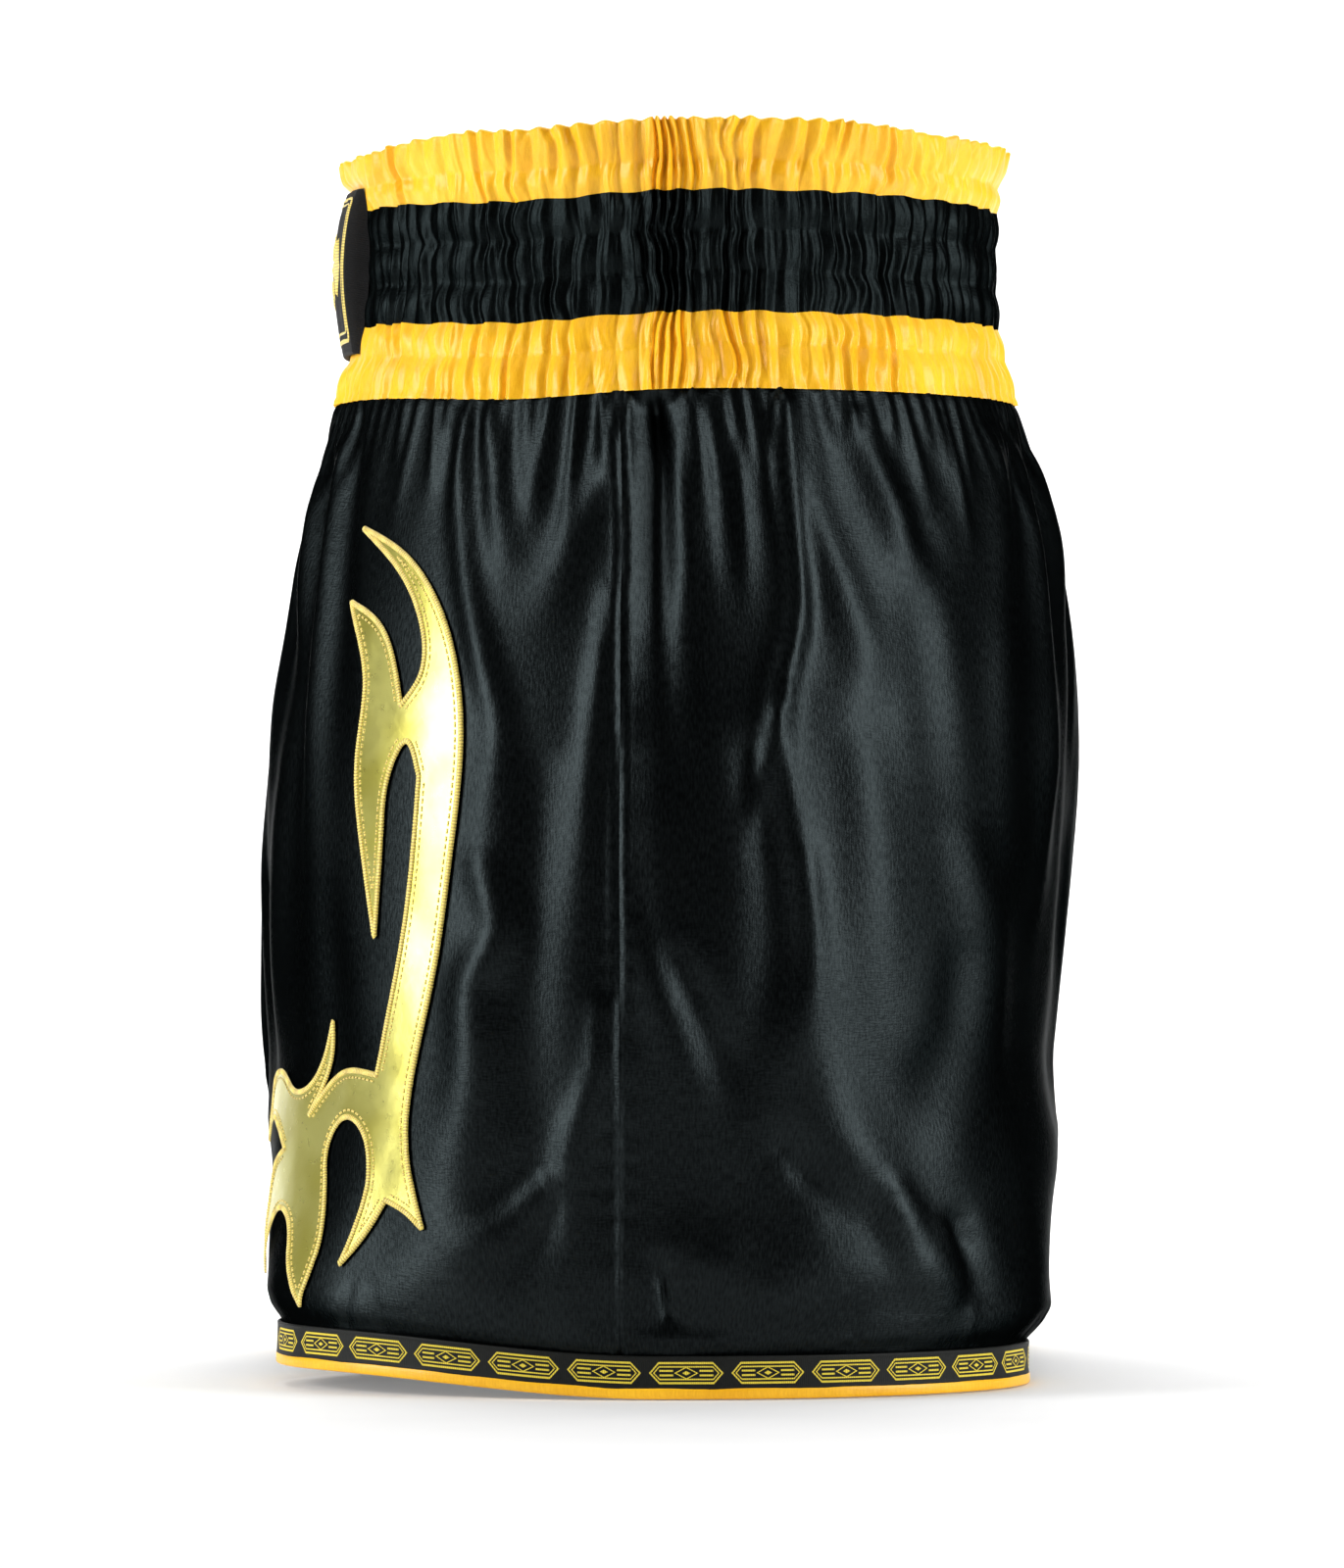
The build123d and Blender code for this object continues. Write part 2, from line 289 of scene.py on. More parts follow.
def outward(grid):
    """Unit normals of one side's outer grid, pointing away from the wearer."""
    normal = unit(np.cross(np.gradient(grid, axis=0), np.gradient(grid, axis=1)))
    return -normal if grid[..., 0].mean() < 0 else normal


def finer(grid, factor, axis):
    """Smooth interpolation of a grid along one axis."""
    grid = np.moveaxis(grid, axis, 0)
    count = grid.shape[0]
    padded = np.concatenate([[2 * grid[0] - grid[1]], grid, [2 * grid[-1] - grid[-2]]])
    place = np.linspace(0, count - 1, (count - 1) * factor + 1)
    i = np.minimum(place.astype(int), count - 2)
    t = (place - i).reshape([-1] + [1] * (grid.ndim - 1))
    a, b, c, d = (padded[i + k] for k in range(4))
    out = 0.5 * (2 * b + (c - a) * t + (2 * a - 5 * b + 4 * c - d) * t**2 + (3 * b - a - 3 * c + d) * t**3)
    return np.moveaxis(out, 0, axis)


def sample(grid, row, column):
    """Grid values at fractional rows and columns."""
    row = np.clip(row, 0, grid.shape[0] - 1.001)
    column = np.clip(column, 0, grid.shape[1] - 1.001)
    r, c = row.astype(int), column.astype(int)
    s, t = (row - r)[..., None], (column - c)[..., None]
    top = grid[r, c] * (1 - t) + grid[r, c + 1] * t
    low = grid[r + 1, c] * (1 - t) + grid[r + 1, c + 1] * t
    return top * (1 - s) + low * s


FINE_HEIGHTS = finer(HEIGHTS[:, None], FINER, 0)[:, 0]


# ---------------------------------------------------------------- folds of the leg cloth

# Ridges (+) and hollows (-) of the left side: height in mm, half width in mm, and the line
# as (how far back, height).
LEFT_FOLDS = (
    (2.2, 4, ((-66, 308), (-66, 255), (-60, 228), (-55, 208), (-58, 188), (-66, 160))),
    (1.8, 4, ((-57, 310), (-56, 275), (-50, 250))),
    (2.6, 6, ((-14, 312), (-22, 288), (-31, 268), (-40, 250), (-50, 226))),
    (1.9, 5, ((-19, 250), (-24, 212), (-26, 180), (-26, 150), (-22, 126))),
    (1.9, 5, ((-22, 122), (-23, 105), (-29, 78), (-28, 55), (-22, 30))),
    (-6.5, 6, ((-5, 340), (-5, 285), (-5, 250), (-4, 222), (1, 170))),
    (1.8, 3, ((2, 312), (2, 280), (4, 254), (1, 226))),
    (2.4, 5, ((8, 314), (9, 280), (13, 252), (20, 220))),
    (1.6, 3, ((15, 310), (21, 285), (23, 262), (23, 232))),
    (3.0, 4, ((34, 316), (37, 280), (40, 243), (35, 222), (34, 200), (40, 165), (46, 120))),
    (2.6, 6, ((36, 310), (47, 272), (56, 250), (62, 230), (57, 212), (62, 184))),
    (3.0, 6, ((58, 304), (72, 275), (83, 252), (89, 220), (92, 196), (99, 160))),
    (2.6, 8, ((96, 172), (103, 145), (100, 112), (88, 80), (72, 58))),
    (2.4, 6, ((104, 300), (109, 270), (110, 220), (111, 165), (116, 110))),
    (1.8, 3, ((32, 214), (28, 190), (22, 168))),
    (2.6, 7, ((-60, 166), (-54, 146), (-64, 128), (-63, 108), (-61, 84), (-70, 56))),
    (-2.2, 9, ((-42, 196), (-44, 160), (-46, 120), (-42, 80), (-38, 34))),
    (2.2, 6, ((-38, 66), (-52, 50), (-72, 40))),
    (2.4, 7, ((-14, 200), (-11, 150), (-3, 128), (4, 108), (7, 85), (10, 46))),
    (-2.6, 7, ((2, 136), (14, 110), (24, 86))),
    (-3.2, 9, ((26, 200), (33, 160), (33, 130), (27, 105), (18, 80))),
    (2.0, 6, ((42, 168), (42, 128), (32, 102), (20, 86))),
    (-2.6, 8, ((80, 268), (86, 225), (90, 175), (94, 130))),
    (-2.4, 8, ((93, 136), (90, 112), (78, 90), (62, 70))),
    (-2.6, 9, ((36, 78), (52, 58), (64, 36))),
    (2.0, 10, ((62, 200), (66, 150), (62, 104))),
    (2.4, 11, ((6, 48), (30, 35), (54, 24))),
    (2.0, 7, ((66, 64), (73, 45), (77, 20))),
    (-2.0, 6, ((86, 54), (90, 34), (92, 14))),
    (-2.4, 5, ((-3, 42), (-1, 26), (0, 12))),
)
FOLD_HEIGHT = 0.8  # share of the listed heights that is laid in


def line_distance(points, line):
    """Distance from flat points to a line, and how far along it the nearest place is."""
    line = np.asarray(line, float)
    run = arc_length(line)
    places = np.linspace(0, run[-1], 4 * len(line) + 1)
    line = np.stack([through(places, run, line[:, k]) for k in (0, 1)], -1)
    best = np.full(len(points), 1e9)
    along = np.zeros(len(points))
    for k, (a, b) in enumerate(zip(line[:-1], line[1:])):
        t = np.clip(((points - a) @ (b - a)) / ((b - a) @ (b - a)), 0, 1)
        gap = np.linalg.norm(points - a - t[:, None] * (b - a), axis=1)
        along = np.where(gap < best, (k + t) / (len(line) - 1), along)
        best = np.minimum(best, gap)
    return best, along


def fold_relief(places, folds):
    """Folds are narrow and high at their upper end, then widen and die away."""
    relief = np.zeros(len(places))
    for depth, width, line in folds:
        gap, along = line_distance(places, line)
        ends = fade(along, -0.25, 0.2) * (1 - fade(along, 0.45, 1.0))
        spread = width * (0.85 + 0.8 * along)
        relief += FOLD_HEIGHT * depth * np.exp(-((gap / spread) ** 2)) * ends
    return relief


def scattered_folds(seed, first, last, count):
    """Made-up folds of the same kind for a side that has none listed."""
    rng = np.random.default_rng(seed)
    folds = []
    for number in range(count):
        start = first + (last - first) * (number + rng.uniform(0.2, 0.8)) / count
        top, fall = rng.uniform(285, 308), rng.uniform(60, 190)
        lean = rng.uniform(-22, 22)
        line = [(start + lean * t * t, top - fall * t) for t in (0, 0.35, 0.7, 1)]
        sign = 1 if number % 2 else -1
        folds.append((sign * rng.uniform(2.5, 4.5), rng.uniform(8, 13), line))
    for number in range(count // 2):
        start = first + (last - first) * (number + rng.uniform(0.2, 0.8)) / (count // 2)
        top, lean = rng.uniform(150, 210), rng.uniform(-25, 25)
        line = [(start + lean * t, top - 120 * t) for t in (0, 0.5, 1)]
        folds.append((rng.choice([-3.0, 3.0]), rng.uniform(13, 18), line))
    return folds


# ---------------------------------------------------------------- cloth simulation

SIM_FRAMES = 16
CRISP = 0.5  # share of the folds that is laid in again after the cloth has settled
# How much wider than the form the cloth is cut at each height.
FULL_HEIGHTS = (0, 13.4, 40, 84, 125, 165, 205, 245, 270, 295, 308, 313.6)
FULLNESS = (1.0, 1.0, 1.005, 1.01, 1.012, 1.014, 1.018, 1.025, 1.035, 1.045, 1.035, 1.02)
SLACK = 1.004  # cloth length over the height that it hangs
CALM = 14  # smoothing passes over the way that the cloth moved, which take out its finest wrinkles
WEARER_INSET = 6.0  # the form inside the cloth is this much smaller


class Cloth:
    """Both legs as one welded cloth of four grids: left outer and inner, right outer and inner."""

    def __init__(self, grow=0.0):
        outer, inner = left_grids(grow)
        self.grids = [outer, inner, mirrored(outer), mirrored(inner)]
        points = np.concatenate([g.reshape(-1, 3) for g in self.grids])
        first, back = weld(points)
        self.points = points[first]
        self.ids, start = [], 0
        for grid in self.grids:
            count = grid.shape[0] * grid.shape[1]
            self.ids.append(back[start:start + count].reshape(grid.shape[:2]))
            start += count

    def faces(self):
        """Quads of the welded cloth, facing out."""
        return np.concatenate([quads_of(ids, k >= 2) for k, ids in enumerate(self.ids)])

    def take(self, points):
        """The four grids of a new set of points."""
        return [points[ids] for ids in self.ids]


def folds_of(grid):
    """Height of the folds over one side's outer grid of form points."""
    steps = np.linalg.norm(np.diff(grid, axis=1), axis=2)
    arc = np.concatenate([np.zeros((len(grid), 1)), np.cumsum(steps, axis=1)], axis=1)
    arc -= np.array([np.interp(0, row[:, 1], length) for row, length in zip(grid, arc)])[:, None]
    y, height = grid[..., 1].ravel(), grid[..., 2].ravel()
    round_leg = np.stack([arc.ravel(), height], -1)
    if grid[..., 0].mean() > 0:
        relief = fold_relief(np.stack([y, height], -1), LEFT_FOLDS)
        relief *= 1 - fade(np.abs(y), 104, 122)
        relief += fold_relief(round_leg, scattered_folds(11, -265, -130, 9))
        relief += fold_relief(round_leg, scattered_folds(23, 150, 265, 8))
    else:
        relief = fold_relief(round_leg, scattered_folds(37, -265, 265, 34))
    centre = fade(np.abs(grid[..., 0].ravel()), 2, 26)
    relief *= centre * fade(height, 14, 30) * (1 - fade(height, 308, 313.6))
    return relief.reshape(grid.shape[:2])


def start_shape(cloth, normals):
    """The form with its folds laid in, before the cloth settles."""
    relief = np.zeros(len(cloth.points))
    for number in (0, 2):
        relief[cloth.ids[number]] = folds_of(cloth.grids[number])
    return cloth.points + normals * relief[:, None]


def cut_shape(points):
    """Points of the cloth as it is cut: fuller and a little longer than the form."""
    full = np.interp(points[:, 2], FULL_HEIGHTS, FULLNESS)
    rest = points * np.stack([full, full, np.ones_like(full)], -1)
    rest[:, 2] = BAND_BOTTOM - (BAND_BOTTOM - points[:, 2]) * SLACK
    return rest


def make_settle(piece, points, start):
    """Gives the cloth its cut, its stiffness, and its hold at the band and at the tape."""
    piece.shape_key_add(name="Basis").data.foreach_set("co", (start * MM).ravel())
    cut = piece.shape_key_add(name="cut")
    cut.data.foreach_set("co", (cut_shape(points) * MM).ravel())
    piece.data.vertices.foreach_set("co", (start * MM).ravel())
    piece.data.update()
    held = np.where((points[:, 2] > BAND_BOTTOM - 2) | (points[:, 2] < TAPE_TOP + 0.5))[0]
    piece.vertex_groups.new(name="held").add(held.tolist(), 1.0, "REPLACE")
    modifier = piece.modifiers.new("Cloth", "CLOTH")
    satin = modifier.settings
    satin.quality = 5
    satin.mass = 0.15
    satin.tension_stiffness = satin.compression_stiffness = 15
    satin.shear_stiffness = 5
    satin.bending_stiffness = 6.0
    satin.tension_damping = satin.compression_damping = satin.shear_damping = 5
    satin.air_damping = 2
    satin.vertex_group_mass = "held"
    satin.rest_shape_key = cut
    modifier.collision_settings.distance_min = 0.0015
    modifier.collision_settings.use_self_collision = False
    modifier.point_cache.frame_start, modifier.point_cache.frame_end = 1, SIM_FRAMES


def wearing_form():
    """The solid form that the cloth settles on."""
    inside = Cloth(grow=-WEARER_INSET)
    wearer = mesh_piece("settling_form", inside.points, inside.faces())
    wearer.modifiers.new("Collision", "COLLISION")
    wearer.collision.thickness_outer = 0.001
    return wearer


def settle(cloth):
    """Cloth points after a short cloth simulation over the body form."""
    piece = mesh_piece("settling_cloth", cloth.points, cloth.faces())
    normals = np.zeros(len(piece.data.vertices) * 3)
    piece.data.vertices.foreach_get("normal", normals)
    start = start_shape(cloth, normals.reshape(-1, 3))
    make_settle(piece, cloth.points, start)
    wearer = wearing_form()
    scene = bpy.context.scene
    for number in range(1, SIM_FRAMES + 1):
        scene.frame_set(number)
    settled = piece.evaluated_get(bpy.context.evaluated_depsgraph_get()).to_mesh()
    points = np.zeros(len(settled.vertices) * 3)
    settled.vertices.foreach_get("co", points)
    scene.frame_set(1)
    for gone in (piece, wearer):
        bpy.data.objects.remove(gone)
    return calmed(cloth, start, points.reshape(-1, 3) / MM)


def calmed(cloth, start, settled):
    """The settled points without the finest wrinkles; the laid folds stay as they are."""
    move = settled - start
    for _ in range(CALM):
        for ids in cloth.ids:
            field = move[ids]
            around = field[:-2, 1:-1] + field[2:, 1:-1] + field[1:-1, :-2] + field[1:-1, 2:]
            field[1:-1, 1:-1] = 0.4 * field[1:-1, 1:-1] + 0.15 * around
            move[ids] = field
    return start + move


def satin_grids():
    """Settled and refined grids: left outer and inner, right outer and inner."""
    cloth = Cloth()
    grids = []
    for number, grid in enumerate(cloth.take(settle(cloth))):
        grid = finer(finer(grid, FINER, 0), FINER, 1)
        if number in (0, 2):
            plain = finer(finer(cloth.grids[number], FINER, 0), FINER, 1)
            grid = grid + outward(plain) * (CRISP * folds_of(plain))[..., None]
        grids.append(grid)
    below = UPPER_ROWS * FINER
    for outer, inner in ((0, 1), (2, 3)):
        grids[inner][:, 0] = grids[outer][below:, -1]
        grids[inner][:, -1] = grids[outer][below:, 0]
    return grids


def pleat_positions(rng, total, low, high):
    """Uneven places of pleats round a closed length."""
    steps = rng.uniform(low, high, int(total / (0.5 * (low + high))))
    return np.cumsum(steps) * total / steps.sum()


TAPE_PUFF = 2.8  # how far the cloth stands out just above the tape
SEAM_REACH = 9  # the details fade out this far from the centre seams
HEM_SWELL, BACK_SWELL = 5.5, 1.5  # more of it where the leg faces front or back, most at the back


def gathers(rng, arc, below):
    """Small gathers that hang from the band; below is the distance under it."""
    relief = np.zeros(below.shape)
    for centre in pleat_positions(rng, arc[-1], 5.0, 10.0):
        width, reach = rng.uniform(1.6, 3.0), rng.uniform(14, 62)
        lean = rng.uniform(-0.12, 0.12)
        gap = arc[None, :] - centre - lean * below
        rise = rng.uniform(0.7, 1.7) * np.exp(-((gap / (width * (1 + below / 60))) ** 2))
        relief += rise * (1 - fade(below, reach * 0.25, reach))
    return relief * (fade(below, -2.0, 3.0) * 0.6 + 0.4)


def side_seam(arc, height):
    """Groove, ridge and puckers of the side seam."""
    gap = np.abs(arc - arc[FRONT_COLUMNS * FINER])[None, :]
    pucker = 0.16 * np.sin(height * 0.55 + 2.5 * np.sin(height * 0.09)) * np.exp(-((gap / 5) ** 2))
    ridge = 0.5 * np.exp(-(((gap - 1.8) / 1.1) ** 2)) - 0.5 * np.exp(-((gap / 0.9) ** 2))
    return pucker * fade(gap, 0.4, 2) + ridge


def add_details(outer, seed):
    """Small gathers under the band, seam puckers and the puff above the hem tape."""
    rng = np.random.default_rng(seed)
    normals = outward(outer)
    arc = arc_length(outer[0])
    height = np.repeat(FINE_HEIGHTS[:, None], outer.shape[1], 1)
    relief = gathers(rng, arc, BAND_BOTTOM - height)
    tape = height - TAPE_TOP
    relief += TAPE_PUFF * fade(tape, -1, 6) * (1 - fade(tape, 10, 60))
    facing_ends = normals[..., 1]
    swell = (HEM_SWELL + BACK_SWELL * np.sign(facing_ends)) * facing_ends**2
    relief += swell * fade(tape, -1, 12) * (1 - fade(height, 66, 108))
    for centre in pleat_positions(rng, arc[-1], 7.0, 17.0):
        reach, width = rng.uniform(6, 24), rng.uniform(1.8, 3.6)
        gap = arc[None, :] - centre - rng.uniform(-0.3, 0.3) * tape
        rise = rng.uniform(-0.6, 0.6) * np.exp(-((gap / width) ** 2))
        relief += rise * fade(tape, -0.5, 3) * (1 - fade(tape, reach * 0.3, reach))
    relief += side_seam(arc, height)
    edge = fade(arc, 0, SEAM_REACH) * (1 - fade(arc, arc[-1] - SEAM_REACH, arc[-1]))
    return outer + normals * (relief * edge[None, :])[..., None]


LEG_GAP = 0.3  # half the gap where the two legs touch under the crotch
OUTER_GIRTH, LEG_GIRTH = 470, 700  # round the outer cloth of one leg, and all round the leg
GUSSET_WIDE, GUSSET_LOW = 0.5, 0.54  # share of the inner leg's width and height that the gusset takes


def grid_uv(along, levels):
    """(u, v) of every point of a grid."""
    return np.stack(np.broadcast_arrays(along[None, :], levels[:, None]), -1)


def keep_legs_apart(grids):
    """Holds each leg's cloth on its own side of the centre, below the row where the legs part."""
    outer_start = UPPER_ROWS * FINER + 1
    for side, first in ((1, 0), (-1, 2)):
        for grid, start in ((grids[first], outer_start), (grids[first + 1], 1)):
            away = grid[start:, :, 0] * side
            least = LEG_GAP * fade(np.arange(1, len(away) + 1), 0, 6)[:, None]
            grid[start:, :, 0] = np.maximum(away, least) * side


def add_leg_panels(material):
    """The satin panels and the crotch gusset, each as its own sheet. Returns the grids."""
    grids = satin_grids()
    grids[0] = add_details(grids[0], 4)
    grids[2] = add_details(grids[2], 5)
    keep_legs_apart(grids)
    below, seam = UPPER_ROWS * FINER, FRONT_COLUMNS * FINER
    half = INNER_COLUMNS * FINER // 2
    gusset_columns = int(half * GUSSET_WIDE)
    gusset_rows = int(LOWER_ROWS * FINER * GUSSET_LOW)
    gusset = []
    for side, flip, first in (("left", False, 0), ("right", True, 2)):
        outer, inner = grids[first], grids[first + 1]
        outer_uv = grid_uv(np.linspace(0, OUTER_GIRTH, outer.shape[1]), FINE_HEIGHTS)
        inner_uv = grid_uv(np.linspace(OUTER_GIRTH, LEG_GIRTH, inner.shape[1]), FINE_HEIGHTS[below:])
        a, b = half - gusset_columns, half + gusset_columns
        rows = slice(gusset_rows, None)
        front = [(outer[:, :seam + 1], outer_uv[:, :seam + 1]), (inner[:, b:], inner_uv[:, b:]),
                 (inner[rows, half:b + 1], inner_uv[rows, half:b + 1])]
        back = [(outer[:, seam:], outer_uv[:, seam:]), (inner[:, :a + 1], inner_uv[:, :a + 1]),
                (inner[rows, a:half + 1], inner_uv[rows, a:half + 1])]
        gusset.append((inner[:gusset_rows + 1, a:b + 1], inner_uv[:gusset_rows + 1, a:b + 1]))
        for end, parts in (("front", front), ("back", back)):
            name = f"{side}_{end}_leg_panel"
            piece = grid_piece(f"{name}_satin", parts, material, [flip] * 3)
            attach(piece, name)
    piece = grid_piece("crotch_gusset_satin", gusset, material, [False, True])
    attach(piece, "crotch_gusset")
    return grids[0], grids[2]


# ---------------------------------------------------------------- waistband


def band_height(level):
    """Height of a fractional stitch row, counted from the bottom."""
    rows = np.concatenate([[0], np.cumsum(CHANNELS)]) + BAND_BOTTOM
    rows[-1] = BAND_TOP
    return np.interp(level, np.arange(len(rows)), rows)


BAND_COLUMNS = 2400
ROWS_IN_CHANNEL = 12
WAIST_GIRTH = 790.0
PUFF = 0.9  # how far the cloth stands out between stitch rows, before its pleats
PLEAT_DEPTH = 2.3
CREASE_DEPTH = 0.34
SIDES = (200.5, 589.5)  # where the side seams pull the gathers tight, measured round the band
SIDE_PULL = 9.0  # and how far each way they do
TOPSTITCH = 1.5  # height of the hem lip of the lowest strip
GATHER = 1.15  # a strip's cut height over the height that it hangs
SWELLS = 60  # places round a strip where it stands out a little more or less
PATCH_WIDTH, PATCH_LOW, PATCH_HIGH = 84.0, 329.5, 387.0
PATCH_BOW = 3.6  # the stiff patch stands away from the narrow middle of the band
PATCH_GAP = 1.6  # and this far from the flared strips that it is sewn to
PATCH_HUG = 1.5  # its two ends are sewn down this far out from the band
PATCH_MIDDLE = (PATCH_LOW + PATCH_HIGH) / 2
PATCH_PRESS = 0.75  # share of the pleats' height that the patch presses flat
PRESSED_EDGE = 6  # and it presses them this far round it
# How the top edge folds over towards the wearer: (how far inward, height from the edge).
TOP_FOLD = ((0.5, 0.45), (1.2, 0.6), (2.0, 0.35), (2.8, -0.4), (3.2, -1.6))
# Each strip: name, first and last stitch row, slot.
STRIPS = (
    ("bottom", 0, 2, "yellow_satin"),
    ("middle", 2, 5, "black_satin"),
    ("top", 5, 7, "yellow_satin"),
)
LOZENGE_CENTRE, LOZENGE_WIDTH, LOZENGE_HEIGHT = 25.5, 17.0, 19.0


def band_angles(count):
    """Angles that space points evenly round the waistband, starting at the back."""
    turn = np.linspace(0, 2 * math.pi, 4001)
    step = np.hypot(BAND_ASPECT * np.sin(turn), np.cos(turn))
    length = np.concatenate([[0], np.cumsum((step[1:] + step[:-1]) / 2)])
    even = np.linspace(0, length[-1], count + 1)
    return np.interp(even, length, turn) + HALF_TURN


def band_point(angle, height, grow):
    """Point of the waistband's flared oval, this far out from it."""
    depth = BAND_DEPTH + BAND_FLARE * (height - BAND_WAIST) ** 2
    x = (depth * BAND_ASPECT + grow) * np.cos(angle)
    y = (depth + grow) * np.sin(angle) + BAND_Y
    return np.stack(np.broadcast_arrays(x, y, height), -1)


class Pleats:
    """Gathers round the waistband, which bend sideways between the stitch rows."""

    def __init__(self, seed, low, high, drift, strengths):
        self.rng = np.random.default_rng(seed)
        self.base = self.places(low, high)
        self.count = len(self.base)
        rows = len(CHANNELS) + 1
        self.shift = self.wander(rows, drift)
        self.shift += self.rng.normal(0, 0.05 * (low + high) / 2, (rows, self.count))
        self.bow = self.wander(rows - 1, 0.8 * drift)
        self.strength = self.rng.uniform(*strengths, (rows, self.count))
        self.strength *= 1 + 0.9 * self.tight(self.base)

    @staticmethod
    def tight(arc):
        """1 at a side seam, 0 away from both."""
        return sum(np.exp(-(((arc - side) / SIDE_PULL) ** 2)) for side in SIDES)

    def places(self, low, high):
        """Uneven places of pleats round the band, closer at the side seams."""
        places = [0.0]
        while places[-1] < WAIST_GIRTH:
            step = self.rng.uniform(low, high) * (1 - 0.45 * self.tight(places[-1]))
            places.append(places[-1] + step)
        places = np.array(places[:-1])
        return places * WAIST_GIRTH / (places[-1] + 0.5 * (low + high))

    def wander(self, rows, size):
        """Smooth sideways drift in mm, shared by neighbouring pleats."""
        arc = self.base * 2 * math.pi / WAIST_GIRTH
        drift = np.zeros((rows, self.count))
        for turns in (4, 7, 11, 16):
            phase = self.rng.uniform(0, 2 * math.pi, (rows, 1))
            drift += np.sin(turns * arc + phase) * self.rng.uniform(0.3, 1.0, (rows, 1))
        return size * drift / 1.3

    def at(self, level, columns):
        """Height of the pleats along one level, from 0 in a crease to about 1, and the phase."""
        low = min(int(level), len(CHANNELS) - 1)
        share = level - low
        move = self.shift[low] * (1 - share) + self.shift[low + 1] * share
        move = move + self.bow[low] * math.sin(math.pi * share)
        strength = self.strength[low] * (1 - share) + self.strength[low + 1] * share
        place = np.maximum.accumulate(self.base + move)
        number = np.arange(self.count)
        place = np.concatenate([place - WAIST_GIRTH, place, place + WAIST_GIRTH])
        number = np.concatenate([number - self.count, number, number + self.count])
        phase = np.interp(np.linspace(0, WAIST_GIRTH, columns + 1), place, number)
        around = np.append(strength, strength[0])
        strength = np.interp(phase % self.count, np.arange(self.count + 1), around)
        sharp = np.abs(np.cos(math.pi * phase)) ** 0.8
        soft = 0.5 + 0.5 * np.cos(2 * math.pi * phase)
        return (0.3 * sharp + 0.7 * soft) * strength, phase


def puff_at(level):
    """How full the channel stands at a level: 0 on a stitch row, 1 between two rows."""
    share = level % 1.0
    if level >= len(CHANNELS) - 0.5:
        return 1 - 0.5 * ((level - len(CHANNELS) + 0.5) / 0.5) ** 2
    lip = TOPSTITCH / CHANNELS[0]
    if level < 1:
        if share < lip:
            return 0.3 * math.sin(math.pi * share / lip) + 0.1
        share = (share - lip) / (1 - lip)
    return math.sin(math.pi * share) ** 1.2 if 0 < share < 1 else 0.0


def pressed(angles, height):
    """The patch presses the pleats under it flat."""
    across = (BAND_DEPTH + 4) * BAND_ASPECT * np.cos(angles)
    end = PATCH_WIDTH / 2
    under = (1 - fade(np.abs(across), end, end + PRESSED_EDGE)) * (np.sin(angles) < 0)
    under = under * fade(height, PATCH_LOW - PRESSED_EDGE, PATCH_LOW)
    under = under * (1 - fade(height, PATCH_HIGH, PATCH_HIGH + PRESSED_EDGE))
    return 1 - PATCH_PRESS * under


def strip_rows(pleats, creases, first, last, swell):
    """Rows of points and of (u, v) of a waist strip between two stitch rows."""
    angles = band_angles(BAND_COLUMNS)
    across = np.linspace(0, WAIST_GIRTH * 1.4, BAND_COLUMNS + 1)
    rows, uvs = [], []
    for number in range((last - first) * ROWS_IN_CHANNEL + 1):
        level = first + number / ROWS_IN_CHANNEL
        puff = puff_at(level)
        ridge, phase = pleats.at(level, BAND_COLUMNS)
        crease, _ = creases.at(level, BAND_COLUMNS)
        full = 0.86 + 0.14 * puff
        grow = PUFF * puff * swell + PLEAT_DEPTH * full * ridge + CREASE_DEPTH * full * crease
        height = band_height(level) + 0.35 * np.sin(phase * 2.3) * (0 < level < len(CHANNELS))
        if level > len(CHANNELS) - 0.4:
            height = height - 1.0 * (1.0 - np.minimum(ridge, 1)) * (level - len(CHANNELS) + 0.4) / 0.4
        grow = 0.1 + grow * pressed(angles, height)
        rows.append(band_point(angles, height, grow))
        uvs.append(row_uv(across, band_height(level) * GATHER))
    return rows, uvs


def turn_in(rows, uvs, steps):
    """Adds rows that fold the top edge over towards the wearer."""
    edge = rows[-1]
    out = unit((edge - np.array([0, BAND_Y, 0])) * np.array([1, 1, 0]))
    for inward, rise in steps:
        rows.append(edge - out * inward + np.array([0, 0, rise]))
        uvs.append(uvs[-1] + np.array([0, 0.8]))


def add_waistband(materials):
    """The three gathered strips. Returns their pleats, which the facing follows."""
    pleats = Pleats(3, 4.2, 11.5, 1.7, (0.25, 1.1))
    creases = Pleats(8, 2.2, 5.4, 1.3, (0.0, 1.3))
    rng = np.random.default_rng(40)
    for name, first, last, slot in STRIPS:
        bumps = np.append(rng.normal(0, 0.16, SWELLS), 0)
        bumps[-1] = bumps[0]
        swell = 1 + np.interp(np.linspace(0, SWELLS, BAND_COLUMNS + 1), np.arange(SWELLS + 1), bumps)
        rows, uvs = strip_rows(pleats, creases, first, last, swell)
        if name == "top":
            turn_in(rows, uvs, TOP_FOLD)
        # The black strip takes a darker copy of the leg satin, which is painted shade.
        look = materials["band_satin" if slot == "black_satin" else slot]
        piece = rows_piece(f"waist_strip_{name}_satin", rows, uvs, look, flip=True)
        attach(piece, f"waist_strip_{name}")
    return pleats


FACING_INSET = 2.1  # the facing lies at least this far inside the band
FACING_DROP = 0.8  # and ends this far below its top
FACING_ROWS = 6  # rows of the facing in each channel
FACING_GIRTH = 1100  # its cut length, which is gathered to the band


